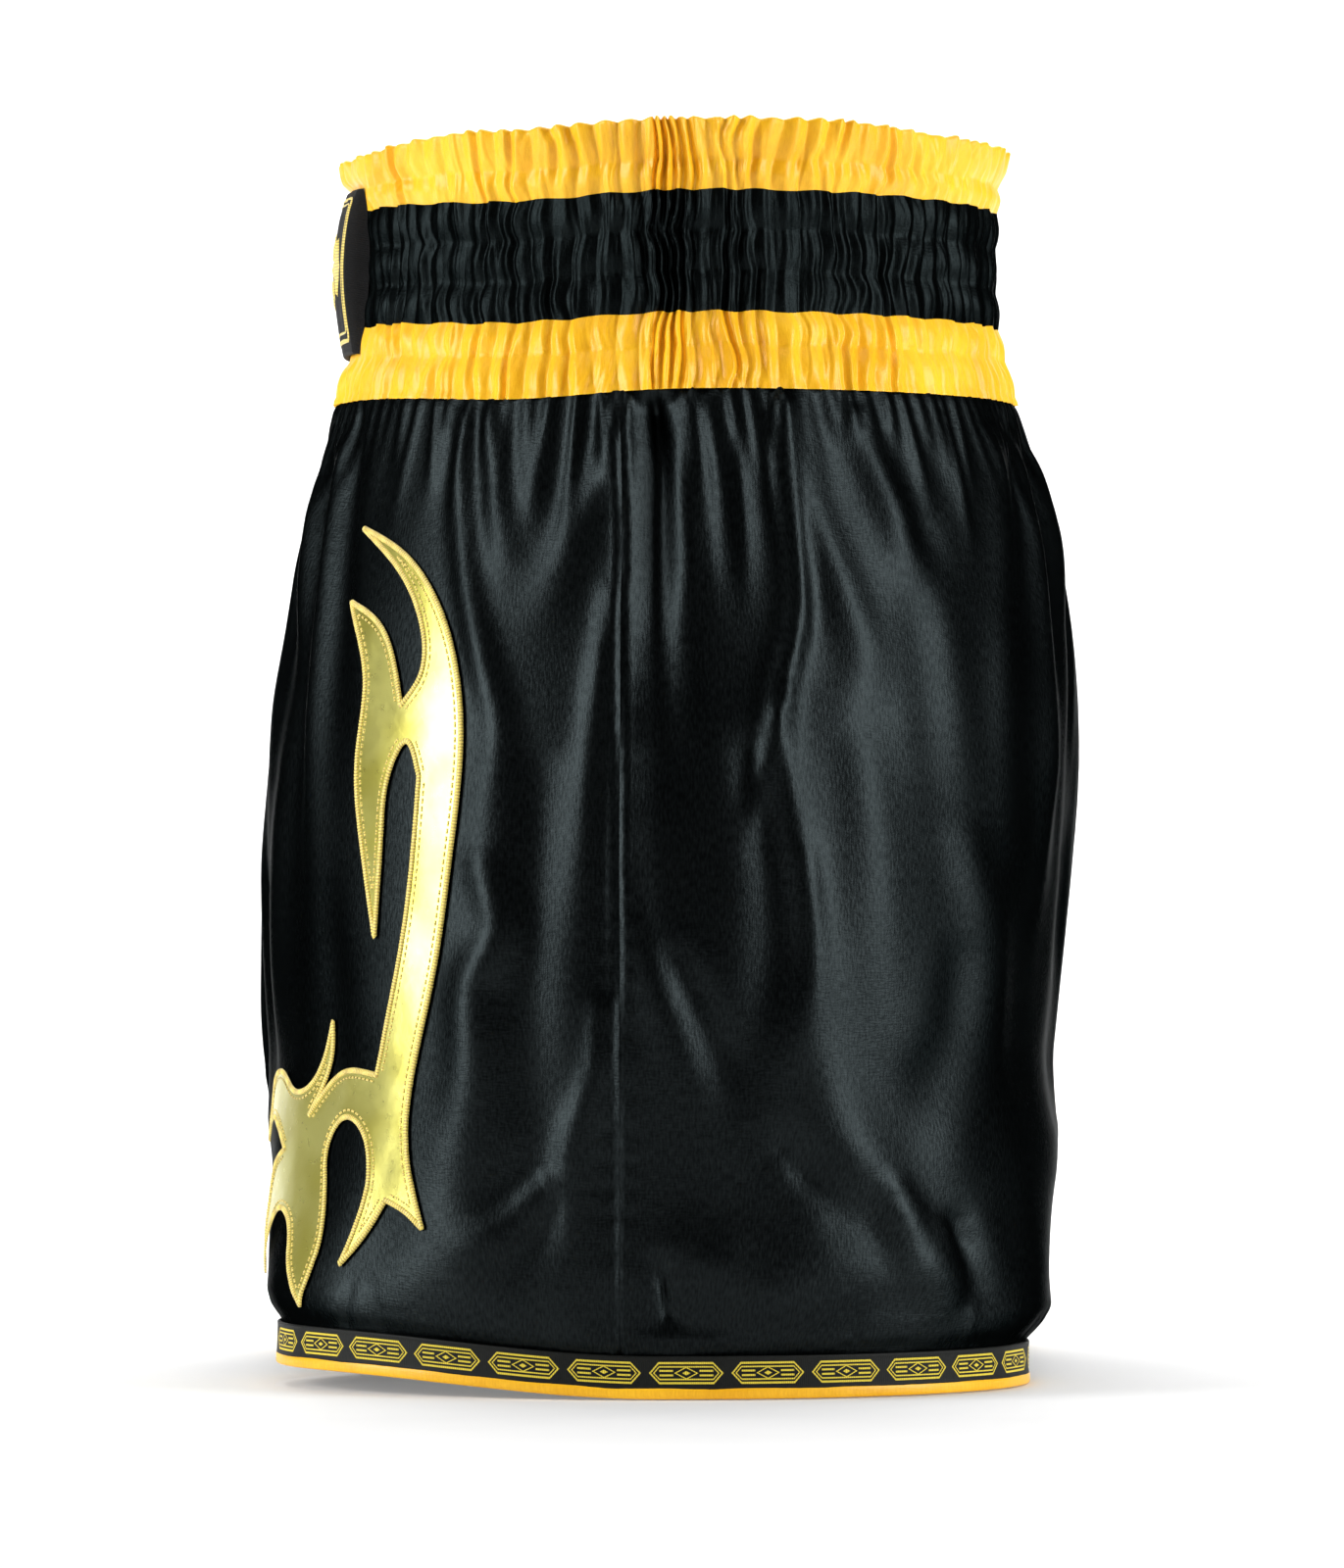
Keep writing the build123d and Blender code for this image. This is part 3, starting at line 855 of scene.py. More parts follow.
def add_facing(pleats, material):
    """Lining that closes the channels on the inside."""
    columns = BAND_COLUMNS // 2
    angles = band_angles(columns)
    around = np.linspace(0, FACING_GIRTH, len(angles))
    rows, uvs = [], []
    for number in range(len(CHANNELS) * FACING_ROWS + 1):
        level = number / FACING_ROWS
        share = level % 1.0
        puff = math.sin(math.pi * share) ** 0.7 if 0 < share < 1 else 0.0
        ridge, _ = pleats.at(min(level, 6.999), columns)
        grow = -FACING_INSET - 0.55 * puff - ridge * (0.5 + 0.5 * puff)
        height = min(band_height(level), BAND_TOP - FACING_DROP)
        rows.append(band_point(angles, height, grow))
        uvs.append(row_uv(around, height))
    piece = rows_piece("waist_facing_cloth", rows, uvs, material)
    attach(piece, "waist_facing")


ELASTIC_LENGTH = 0.78  # metres, shown unstretched


def elastic_profile(low, high):
    """Closed outline of a flat elastic: (out from the band, height), up its outer side."""
    outer = [(-0.45, z) for z in np.linspace(low + 0.6, high - 0.6, 9)]
    inner = [(-1.05, z) for z in np.linspace(high - 0.6, low + 0.6, 9)]
    top = [(-0.5, high - 0.2), (-0.75, high), (-1.0, high - 0.2)]
    return [(-0.75, low), (-0.5, low + 0.2), *outer, *top, *inner, (-1.0, low + 0.2), (-0.75, low)]


def add_elastics(material):
    """Flat knitted elastic in each channel, following the band as it is worn."""
    columns = 360
    around = np.linspace(0, ELASTIC_LENGTH / MM, columns + 1)
    angles = band_angles(columns)
    for number in range(1, len(CHANNELS) + 1):
        node = f"waist_elastic_{number}"
        low, high = (corner[2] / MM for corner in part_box(node))
        profile = elastic_profile(low, high)
        rows = [band_point(angles, height, grow) for grow, height in profile]
        uvs = [row_uv(around, height) for _, height in profile]
        piece = rows_piece(f"{node}_knit", rows, uvs, material, flip=True)
        attach(piece, node)


# ---------------------------------------------------------------- hem trim


def leg_ring(columns, height, grow):
    """Closed section of the left leg as evenly spaced points, and its length."""
    turn = np.linspace(-HALF_TURN, 3 * HALF_TURN, 1200)
    line = form(turn, height, grow)
    line[-1] = line[0]
    return respaced(line, columns), arc_length(line)[-1]


HEM_COLUMNS = 900
# Sections of the trim: (out from the leg, height). The tape lies flat; the binding wraps the edge.
TAPE_PROFILE = (
    (0.15, 13.4), (0.75, 13.45), (1.0, 13.2), (1.08, 12.8), (0.98, 12.3),
    *((0.95, height) for height in np.linspace(11.6, 4.6, 12)),
    (1.0, 4.0), (1.08, 3.5), (1.0, 3.15), (0.5, 3.05),
)
BINDING_PROFILE = (
    (0.3, 3.5), (0.95, 3.45), (1.15, 3.2), (1.2, 2.4), (1.2, 1.2), (1.1, 0.5), (0.8, 0.1),
    (0.0, 0.0), (-0.6, 0.1), (-1.0, 0.6), (-1.15, 1.5), (-1.1, 2.6), (-0.9, 3.4),
)
# Each trim: node, section, slot and cut width in metres.
HEM_TRIMS = (
    ("hem_tape", TAPE_PROFILE, "woven_tape", 0.012),
    ("hem_binding", BINDING_PROFILE, "yellow_satin", 0.0105),
)


def hem_waves(rng):
    """Slight unevenness round a leg, in percent of the distance from its middle."""
    wander = np.cumsum(rng.normal(0, 1, HEM_COLUMNS + 1))
    wander -= np.linspace(wander[0], wander[-1], HEM_COLUMNS + 1)
    return 0.12 * np.sin(np.linspace(0, 2 * math.pi * 21, HEM_COLUMNS + 1) + wander * 0.12)


def add_hem_trim(materials):
    """Woven tape and folded satin binding round each leg opening."""
    for side, seed in (("left", 61), ("right", 62)):
        rng = np.random.default_rng(seed)
        for node, profile, slot, width in HEM_TRIMS:
            rows, uvs = [], []
            wave = hem_waves(rng)
            for grow, height in profile:
                ring, length = leg_ring(HEM_COLUMNS, height, grow)
                ring[:, :2] += (ring[:, :2] - np.array([LEG_X, 0])) * (wave / 100)[:, None]
                rows.append(mirrored(ring) if side == "right" else ring)
                uvs.append(row_uv(np.linspace(0, length, HEM_COLUMNS + 1), height))
            name = f"{side}_{node}"
            piece = rows_piece(f"{name}_cloth", rows, uvs, materials[slot], flip=side == "right")
            attach(piece, name)


# ---------------------------------------------------------------- front patch


def patch_point(across, height, out):
    """Point of the patch's upright oval wall; across runs from the wearer's right to left."""
    across, height = np.broadcast_arrays(np.asarray(across, float), np.asarray(height, float))
    share = np.clip((height - PATCH_LOW) / (PATCH_HIGH - PATCH_LOW), 0, 1)
    bow = PATCH_BOW * np.sin(math.pi * share)
    low, high = (BAND_FLARE * (level - BAND_WAIST) ** 2 for level in (PATCH_LOW, PATCH_HIGH))
    grow = low + (high - low) * share + PATCH_GAP + out + bow
    wide, deep = BAND_DEPTH * BAND_ASPECT + grow, BAND_DEPTH + grow
    y = BAND_Y - deep * np.sqrt(1 - (across / wide) ** 2)
    band = BAND_DEPTH + BAND_FLARE * (height - BAND_WAIST) ** 2
    hug = PATCH_HUG + out
    sewn = BAND_Y - (band + hug) * np.sqrt(1 - (across / (band * BAND_ASPECT + hug)) ** 2)
    grip = fade(np.abs(across), PATCH_WIDTH / 2 - 1.3, PATCH_WIDTH / 2)
    return np.stack([across, (1 - grip) * y + grip * sewn, height], -1)


BEAD_SINK = 0.15  # a bead's foot lies this far in the cloth


def bead(line, normals, width, height, pitch, sides=6, closed=True):
    """Raised satin-stitch bead along a line: grid of points and uv in mm."""
    ahead = unit(np.roll(line, -1, 0) - np.roll(line, 1, 0) if closed else np.gradient(line, axis=0))
    side = unit(np.cross(ahead, normals))
    arc = arc_length(line)
    thread = np.abs(np.sin(math.pi * arc / pitch))
    ragged = 1 + 0.16 * (thread - 0.5)
    grid, uv = [], []
    for k in range(sides + 1):
        turn = math.pi * k / sides
        across = -math.cos(turn) * width / 2
        rise = math.sin(turn) ** 0.8 * height * (0.78 + 0.22 * thread) - BEAD_SINK
        grid.append(line + side * (across * ragged)[:, None] + normals * rise[:, None])
        uv.append(row_uv(arc, k / sides * width))
    grid, uv = np.array(grid), np.array(uv)
    if closed:
        grid = np.concatenate([grid, grid[:, :1]], 1)
        uv = np.concatenate([uv, uv[:, -1:] + [pitch / 3, 0]], 1)
    return grid, uv


def add_patch(material):
    """Woven patch with turned edges and a slightly uneven face."""
    across = np.linspace(-PATCH_WIDTH / 2, PATCH_WIDTH / 2, 157)
    rows, uvs = [], []
    profile = [(PATCH_LOW + 0.25, -0.9), (PATCH_LOW, 0.3), (PATCH_LOW + 0.2, 0.9)]
    profile += [(h, 1.1) for h in np.linspace(PATCH_LOW + 0.8, PATCH_HIGH - 0.8, 80)]
    profile += [(PATCH_HIGH - 0.2, 0.9), (PATCH_HIGH, 0.3), (PATCH_HIGH - 0.25, -0.9)]
    edge = 1 - fade(np.abs(across), PATCH_WIDTH / 2 - 1.0, PATCH_WIDTH / 2)
    for height, out in profile:
        soft = 0.18 * np.sin(across * 0.42 + 0.6 * math.sin(height * 0.3)) * fade(height, 330, 336)
        lift = out * (0.15 + 0.85 * edge) - 0.9 * (1 - edge) + soft * edge * (out > 0)
        rows.append(patch_point(across, height, lift))
        uvs.append(row_uv(across, height))
    piece = rows_piece("front_patch_cloth", rows, uvs, material, flip=True)
    attach(piece, "front_patch")


FRAME_INSETS = (2.7, 4.6)  # the outer border line lies this far in from the patch's ends and edges
LINE_LIFT = 1.15  # thread lines lie this far out on the patch
FILL_LIFT = 1.12  # and filled embroidery starts this far out
FILL_PITCH = 0.6  # spacing of the threads across it
BLADE_INNER, BLADE_OUTER = 3.6, 14.0  # a blade runs from here to here from the star's middle
BLADE_HALF = 2.4  # and is this wide each way
RING_RADIUS = 2.4


def add_emblem(material):
    """Two raised border lines and a plain star between two lozenges."""
    wide = PATCH_WIDTH / 2 - FRAME_INSETS[0]
    high = (PATCH_HIGH - PATCH_LOW) / 2 - FRAME_INSETS[1]
    frame_line = rounded_rectangle(wide, high, 2.5, 0.25)
    lines = []
    for shrink, width in ((0.0, 1.5), (2.6, 0.8)):
        flat = frame_line * np.array([(wide - shrink) / wide, (high - shrink) / high])
        lines.append(patch_bead(flat, width, 0.45, 0.7))
    marks = star_blades() + lozenges()
    flips = [False] * len(lines) + [True] * len(marks)
    piece = grid_piece("front_patch_emblem_thread", lines + marks, material, flips)
    attach(piece, "front_patch_emblem")


def patch_bead(flat, width, height, pitch):
    """Bead along a closed line on the patch, given flat from the patch's middle."""
    line = patch_point(flat[:, 0], flat[:, 1] + PATCH_MIDDLE, LINE_LIFT)
    return bead(line, patch_normals(flat[:, 0]), width, height, pitch)


def patch_normals(across):
    """Normals of the patch, which is bent from side to side."""
    step = 0.5
    run = patch_point(across + step, PATCH_MIDDLE, 0) - patch_point(across - step, PATCH_MIDDLE, 0)
    return np.cross(unit(run), np.array([0, 0, 1.0]))


def filled_stitches(x, z, ridge, along):
    """Filled embroidery on the patch, given from its middle, with threads across it."""
    out = FILL_LIFT + ridge + 0.06 * np.sin(along * 2 * math.pi / FILL_PITCH)
    return patch_point(x, z + PATCH_MIDDLE, 0) + patch_normals(x) * out[..., None]


def rounded_rectangle(wide, high, radius, step):
    """Closed outline centred on 0, as evenly spaced flat points."""
    corners = []
    for cx, cy, turn in ((1, 1, 0), (-1, 1, 1), (-1, -1, 2), (1, -1, 3)):
        for t in np.linspace(0, HALF_TURN, 7):
            angle = t + turn * HALF_TURN
            x = cx * (wide - radius) + radius * math.cos(angle)
            corners.append((x, cy * (high - radius) + radius * math.sin(angle)))
    return resample(np.array(corners), step, closed=True)


def star_blades():
    """Eight raised kite-shaped blades round a ring, embroidered in thread."""
    blades = []
    across = np.linspace(-1, 1, 9)
    along = np.linspace(BLADE_INNER, BLADE_OUTER, 40)
    widest = BLADE_INNER + 0.35 * (BLADE_OUTER - BLADE_INNER)
    rising = (along - BLADE_INNER) / (widest - BLADE_INNER)
    half = np.where(along < widest, rising, (BLADE_OUTER - along) / (BLADE_OUTER - widest))
    half = np.maximum(half, 0.02) * BLADE_HALF
    for k in range(8):
        turn = k * math.pi / 4
        x = along[:, None] * math.sin(turn) + across * half[:, None] * math.cos(turn)
        z = along[:, None] * math.cos(turn) - across * half[:, None] * math.sin(turn)
        ridge = 0.75 * (1 - np.abs(across)) ** 0.7 * np.minimum(half[:, None], 1.0)
        grid = filled_stitches(x, z, ridge, along[:, None])
        uv = np.stack(np.broadcast_arrays(along[:, None], across[None, :]), -1)
        blades.append((grid, uv))
    turn = np.linspace(0, 2 * math.pi, 160, endpoint=False)
    flat = np.stack([RING_RADIUS * np.cos(turn), RING_RADIUS * np.sin(turn)], -1)
    blades.append(patch_bead(flat, 1.3, 0.7, 0.6))
    return blades


def lozenges():
    """A raised lozenge on each side of the star, embroidered in thread."""
    marks = []
    across = np.linspace(-1, 1, 21)
    for centre in (-LOZENGE_CENTRE, LOZENGE_CENTRE):
        rise = np.linspace(-LOZENGE_HEIGHT / 2, LOZENGE_HEIGHT / 2, 61)[:, None]
        half = np.maximum(1 - np.abs(rise) / (LOZENGE_HEIGHT / 2), 0.02) * LOZENGE_WIDTH / 2
        x = centre + across * half
        ridge = 0.8 * (1 - np.abs(across)) ** 0.6 * np.minimum(half, 1.0)
        grid = filled_stitches(x, rise, ridge, rise)
        uv = np.stack(np.broadcast_arrays(rise, across[None, :] * half), -1)
        marks.append((grid, uv))
    return marks


# ---------------------------------------------------------------- flame applique

# Each run is a smooth curve between two tips: (distance round the leg, height).
FLAME_RUNS = (
    ((124, 272), (95, 261), (77, 238), (71, 206), (75, 168), (82, 130), (90, 96), (89, 74), (80, 50)),
    ((80, 50), (88, 55), (97, 58)),
    ((97, 58), (103, 48), (113, 35)),
    ((113, 35), (107, 54), (106, 70), (113, 82), (124, 84), (132, 76), (130, 62), (125, 44), (130, 20)),
    ((130, 20), (141, 34), (150, 48), (163, 52), (176, 44), (184, 30)),
    ((184, 30), (187, 50), (179, 66), (166, 72)),
    ((166, 72), (180, 80), (196, 82), (208, 74)),
    ((208, 74), (199, 93), (182, 98), (164, 92), (150, 94), (136, 116)),
    ((136, 116), (138, 100), (148, 84), (140, 92), (122, 100), (106, 99)),
    ((106, 99), (100, 122), (94, 146), (90, 172), (88, 194)),
    ((88, 194), (94, 205), (101, 197), (105, 178), (108, 144)),
    ((108, 144), (115, 172), (119, 200), (116, 224), (129, 249)),
    ((129, 249), (108, 240), (97, 216)),
    ((97, 216), (88, 226), (93, 250), (124, 272)),
)


FOIL_LIFT = 1.0  # how far the film lies out from the satin's surface
STITCH_INSET = 2.3  # the running stitch lies this far inside the edge of the foil
LONGEST_STITCH = 2.4  # a longer one would cut across a corner of the outline
FILM_PITCH = 1.7  # spacing of the film's points inside its outline


def smooth_run(points, steps=14):
    """Natural cubic curve through a run's points."""
    points = np.asarray(points, float)
    arc = arc_length(points)
    count, step = len(points), np.diff(arc)
    system, right = np.eye(count), np.zeros((count, 2))
    for i in range(1, count - 1):
        system[i, i - 1:i + 2] = step[i - 1], 2 * (step[i - 1] + step[i]), step[i]
        right[i] = 6 * ((points[i + 1] - points[i]) / step[i] - (points[i] - points[i - 1]) / step[i - 1])
    bend = np.linalg.solve(system, right)
    place = np.linspace(0, arc[-1], steps * (count - 1) + 1)
    i = np.clip(np.searchsorted(arc, place, side="right") - 1, 0, count - 2)
    a, b = (arc[i + 1] - place)[:, None], (place - arc[i])[:, None]
    h = step[i][:, None]
    curve = (bend[i] * a**3 + bend[i + 1] * b**3) / (6 * h)
    return curve + (points[i] / h - bend[i] * h / 6) * a + (points[i + 1] / h - bend[i + 1] * h / 6) * b


def inside_outline(points, outline):
    """Which flat points lie inside a closed outline."""
    x, y = points[:, 0], points[:, 1]
    inside = np.zeros(len(points), bool)
    for (xa, ya), (xb, yb) in zip(outline, np.roll(outline, -1, 0)):
        if ya == yb:
            continue
        crosses = ((ya > y) != (yb > y)) & (x < (xb - xa) * (y - ya) / (yb - ya) + xa)
        inside ^= crosses
    return inside


def on_cloth(flat, grid):
    """Points and normals of the cloth at (distance round the leg, height)."""
    row = np.interp(-flat[:, 1], -FINE_HEIGHTS, np.arange(grid.shape[0]))
    quarter = np.array([front_length(h) for h in HEIGHTS[::4]])
    total = np.interp(-flat[:, 1], -HEIGHTS[::4], quarter)
    column = FRONT_COLUMNS * FINER * (1 - (flat[:, 0] + SEAM_Y) / total)
    return sample(grid, row, column), unit(sample(outward(grid), row, column))


def front_length(height):
    """Length round the front of one leg from the side seam to the centre."""
    line = form(np.linspace(-HALF_TURN, seam_angle(height), 200), height)
    return float(np.linalg.norm(np.diff(line, axis=0), axis=1).sum())


def inner_stitches(outline):
    """Short flat lines of the running stitch that follows the edge of the foil inside."""
    edge = resample(outline, 0.4, closed=True)
    ahead = unit(np.roll(edge, -1, 0) - np.roll(edge, 1, 0))
    for side in (1, -1):
        inset = edge + side * STITCH_INSET * np.stack([-ahead[:, 1], ahead[:, 0]], -1)
        if inside_outline(inset, edge).mean() > 0.5:
            break
    gap = np.array([np.min(np.linalg.norm(edge - spot, axis=1)) for spot in inset])
    clear = (gap > STITCH_INSET * 0.93) & inside_outline(inset, edge)
    dashes = []
    for first in range(0, len(inset) - 5, 6):
        dash = inset[first:first + 5]
        length = np.linalg.norm(np.diff(dash, axis=0), axis=1).sum()
        if clear[first:first + 5].all() and length < LONGEST_STITCH:
            dashes.append(dash)
    return dashes


def flat_film(outline):
    """The film laid flat: points filled in over its outline, and its triangles."""
    edge = resample(outline, 1.0, closed=True)
    low, high = edge.min(0), edge.max(0)
    columns, rows = (np.arange(low[k], high[k], FILM_PITCH) for k in (0, 1))
    spots = np.stack(np.meshgrid(columns, rows), -1).reshape(-1, 2)
    spots = spots[inside_outline(spots, edge)]
    near = np.array([np.min(np.abs(edge - s).sum(1)) for s in spots])
    flat = np.concatenate([edge, spots[near > 1.0]])
    ring = [(k, (k + 1) % len(edge)) for k in range(len(edge))]
    found = delaunay_2d_cdt([Vector(p) for p in flat], ring, [list(range(len(edge)))], 1, 1e-4)
    return np.array([v[:] for v in found[0]]), np.array([f for f in found[2]])


def flame_threads(outline, grid):
    """Beads of the stitching: a close one over the film's edge, running stitch inside it."""
    points, normals = on_cloth(resample(outline, 0.28, closed=True), grid)
    threads = [bead(points + normals * FOIL_LIFT, normals, 1.9, 0.8, 1.15)]
    for stitch in inner_stitches(outline):
        points, normals = on_cloth(stitch, grid)
        points = points + normals * (FOIL_LIFT + 0.1)
        threads.append(bead(points, normals, 0.8, 0.4, 9.0, 4, closed=False))
    return threads


def add_flames(grids, materials):
    """Foil flame and its stitching on the front of each leg."""
    outline = np.concatenate([smooth_run(run)[:-1] for run in FLAME_RUNS])
    flat, faces = flat_film(outline)
    for side, grid in (("left", grids[0]), ("right", grids[1])):
        points, normals = on_cloth(flat, grid)
        corners = faces[:, ::-1] if side == "left" else faces
        uv = flat[corners.reshape(-1)] * MM
        foil = mesh_piece(f"{side}_flame_foil_film", points + normals * FOIL_LIFT, corners, uv,
                          materials["gold_foil"])
        attach(foil, f"{side}_flame_foil")
        threads = flame_threads(outline, grid)
        piece = grid_piece(f"{side}_flame_stitching_thread", threads, materials["gold_thread"])
        attach(piece, f"{side}_flame_stitching")


# ---------------------------------------------------------------- labels


def add_labels(material):
    """The two labels inside the back of the waistband, hanging with a slight sag."""
    for name, sag in (("size_label", 0.25), ("care_label", 1.2)):
        low, high = (np.array(c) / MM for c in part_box(name))
        xs = np.linspace(low[0], high[0], 25)
        zs = np.linspace(high[2], low[2], 33)
        y = (low[1] + high[1]) / 2
        rows, uvs = [], []
        for z in zs:
            drop = (high[2] - z) / (high[2] - low[2])
            bend = y - sag * drop * drop + 0.12 * np.sin(xs * 0.5 + drop * 4)
            rows.append(np.stack([xs, bend, np.full(len(xs), z)], -1))
            uvs.append(row_uv(xs, z))
        piece = rows_piece(f"{name}_cloth", rows, uvs, material)
        attach(piece, name)


# ---------------------------------------------------------------- materials


class Shader:
    """Small helper that builds one node material."""

    def __init__(self, name, **values):
        self.material = bpy.data.materials.new(name)
        self.material.use_nodes = True
        self.tree = self.material.node_tree
        self.surface = self.tree.nodes["Principled BSDF"]
        for socket, value in values.items():
            self.surface.inputs[socket.replace("_", " ")].default_value = value
        self.uv = self.node("ShaderNodeUVMap").outputs[0]

    def node(self, kind, **settings):
        node = self.tree.nodes.new(kind)
        for key, value in settings.items():
            setattr(node, key, value)
        return node

    def put(self, socket, value):
        """Links an output to the socket, or sets the value on it."""
        if isinstance(value, bpy.types.NodeSocket):
            self.tree.links.new(value, socket)
        else:
            socket.default_value = value

    def calc(self, operation, a, b=0.0, c=0.0):
        """One step of arithmetic on outputs or numbers."""
        node = self.node("ShaderNodeMath", operation=operation)
        for socket, value in zip(node.inputs, (a, b, c)):
            self.put(socket, value)
        return node.outputs[0]

    def split(self):
        """The two uv coordinates, in metres."""
        node = self.node("ShaderNodeSeparateXYZ")
        self.put(node.inputs[0], self.uv)
        return node.outputs[0], node.outputs[1]

    def place(self, stretch=(1, 1, 1)):
        """The uv place, stretched along each axis."""
        node = self.node("ShaderNodeMapping")
        self.put(node.inputs["Vector"], self.uv)
        self.put(node.inputs["Scale"], stretch)
        return node.outputs[0]

    def noise(self, scale, detail=2.0, stretch=(1, 1, 1)):
        node = self.node("ShaderNodeTexNoise")
        self.put(node.inputs["Vector"], self.place(stretch))
        self.put(node.inputs["Scale"], scale)
        self.put(node.inputs["Detail"], detail)
        return node.outputs[0]

    def wave(self, scale, across="X", distortion=0.0):
        """Bands across one uv axis, from 0 to 1."""
        node = self.node("ShaderNodeTexWave", bands_direction=across)
        self.put(node.inputs["Vector"], self.uv)
        self.put(node.inputs["Scale"], scale)
        self.put(node.inputs["Distortion"], distortion)
        return node.outputs[1]

    def mix(self, share, a, b):
        node = self.node("ShaderNodeMix", data_type="RGBA")
        self.put(node.inputs[0], share)
        self.put(node.inputs[6], a)
        self.put(node.inputs[7], b)
        return node.outputs[2]

    def ramp(self, value, low, high):
        """0 below low and 1 above high."""
        node = self.node("ShaderNodeMapRange", interpolation_type="SMOOTHSTEP")
        self.put(node.inputs[0], value)
        self.put(node.inputs[1], low)
        self.put(node.inputs[2], high)
        return node.outputs[0]

    def bump(self, height, distance, strength=1.0):
        """Adds relief on top of the relief so far."""
        node = self.node("ShaderNodeBump")
        self.put(node.inputs["Height"], height)
        self.put(node.inputs["Distance"], distance)
        self.put(node.inputs["Strength"], strength)
        last = self.surface.inputs["Normal"]
        if last.is_linked:
            self.put(node.inputs["Normal"], last.links[0].from_socket)
        self.put(last, node.outputs[0])

    def weave(self, thread, weft, cloudy, spread, depth, colours, roughness):
        """Satin face: warp threads over the weft, with soft clouds in their shade."""
        cloud = self.noise(26, 3)
        shade = self.calc("ADD", self.calc("MULTIPLY", cloud, cloudy),
                          self.calc("MULTIPLY", thread, 1 - cloudy))
        dark, light = colours
        self.colour(self.mix(self.ramp(shade, 0.5 - spread, 0.5 + spread), (*dark, 1), (*light, 1)))
        self.roughness(self.calc("MULTIPLY_ADD", thread, 0.12, roughness - 0.06))
        self.bump(self.noise(70, 3), 0.0006, 0.22)
        self.bump(weft, *depth)
        self.bump(thread, *depth)

    def colour(self, value):
        self.put(self.surface.inputs["Base Color"], value)

    def roughness(self, value):
        self.put(self.surface.inputs["Roughness"], value)


def black_satin(name, dark, light, roughness):
    """Black warp-faced satin. Its few percent of sheen is set as a very dark metal, whose
    edge tint keeps the cloth from turning pale where it curves away."""
    s = Shader(name, Metallic=1.0, Specular_Tint=(0.06, 0.07, 0.07, 1.0))
    thread, weft = s.noise(1500, 2, (1, 0.25, 1)), s.noise(1500, 1, (0.3, 1, 1))
    s.weave(thread, weft, 0.35, 0.18, (0.00014, 0.6), (dark, light), roughness)
    return s.material


def satin(name, dark, light, roughness, gloss, density):
    """Warp-faced satin: fine threads, a soft gloss and slight shade changes."""
    s = Shader(name, Specular_IOR_Level=gloss, IOR=density)
    thread, weft = s.noise(1700, 2, (1, 0.2, 1)), s.noise(1700, 1, (0.25, 1, 1))
    s.weave(thread, weft, 0.6, 0.2, (0.00012, 0.5), (dark, light), roughness)
    return s.material


def lining():
    """Matt black lining with a fine plain weave."""
    s = Shader("black_lining", Sheen_Weight=0.2, Specular_IOR_Level=0.3)
    grain = s.noise(800, 2)
    s.colour(s.mix(grain, (0.010, 0.010, 0.012, 1), (0.03, 0.03, 0.033, 1)))
    s.roughness(0.75)
    s.bump(s.wave(300, "X", 0.8), 0.0001, 0.5)
    s.bump(s.wave(300, "Y", 0.8), 0.0001, 0.5)
    return s.material


def woven_patch():
    """Black cloth of the patch with a fine diagonal twill."""
    s = Shader("woven_patch", Specular_IOR_Level=0.15)
    u, v = s.split()
    twill = s.calc("SINE", s.calc("MULTIPLY", s.calc("ADD", u, v), 9000))
    grain = s.noise(700, 2, (1, 0.3, 1))
    s.colour(s.mix(s.calc("MULTIPLY", grain, 0.8), (0.003, 0.003, 0.003, 1), (0.012, 0.012, 0.013, 1)))
    s.roughness(s.calc("MULTIPLY_ADD", grain, 0.2, 0.6))
    s.bump(twill, 0.00012, 0.4)
    s.bump(s.noise(90, 2), 0.0004, 0.3)
    return s.material


def gold_thread():
    """Lustrous embroidery thread; the stitches run across the bead, with painted shade in the grooves
    between them.
    """
    s = Shader("gold_thread", Sheen_Weight=0.25, Specular_IOR_Level=0.6, Anisotropic=0.3)
    stitches = s.wave(310, "X", 0.6)
    cloud = s.noise(120, 2)
    # Painted shade: the colour turns dark brown in the grooves between stitches, where the stitch bump
    # dips.
    base = s.mix(s.ramp(stitches, 0.1, 0.7), (0.36, 0.24, 0.03, 1), (0.86, 0.66, 0.10, 1))
    s.colour(s.mix(s.calc("MULTIPLY", cloud, 0.35), base, (0.95, 0.80, 0.25, 1)))
    s.roughness(s.calc("MULTIPLY_ADD", cloud, 0.15, 0.36))
    s.bump(stitches, 0.00015, 0.6)
    return s.material


def gold_foil():
    """Metallised film bonded to cloth: a mirror with soft wrinkles and a faint cloth grain."""
    s = Shader("gold_foil", Metallic=0.72, Specular_IOR_Level=0.5, Coat_Weight=0.12, Coat_Roughness=0.12)
    cloud = s.noise(34, 2)
    s.colour(s.mix(s.ramp(cloud, 0.35, 0.65), (0.47, 0.43, 0.075, 1), (0.58, 0.55, 0.15, 1)))
    s.roughness(s.calc("MULTIPLY_ADD", s.noise(300, 2), 0.10, 0.24))
    s.bump(s.noise(38, 1), 0.0022, 0.55)
    s.bump(s.noise(130, 2), 0.0004, 0.35)
    s.bump(s.noise(1500, 1), 0.00005, 0.3)
    return s.material


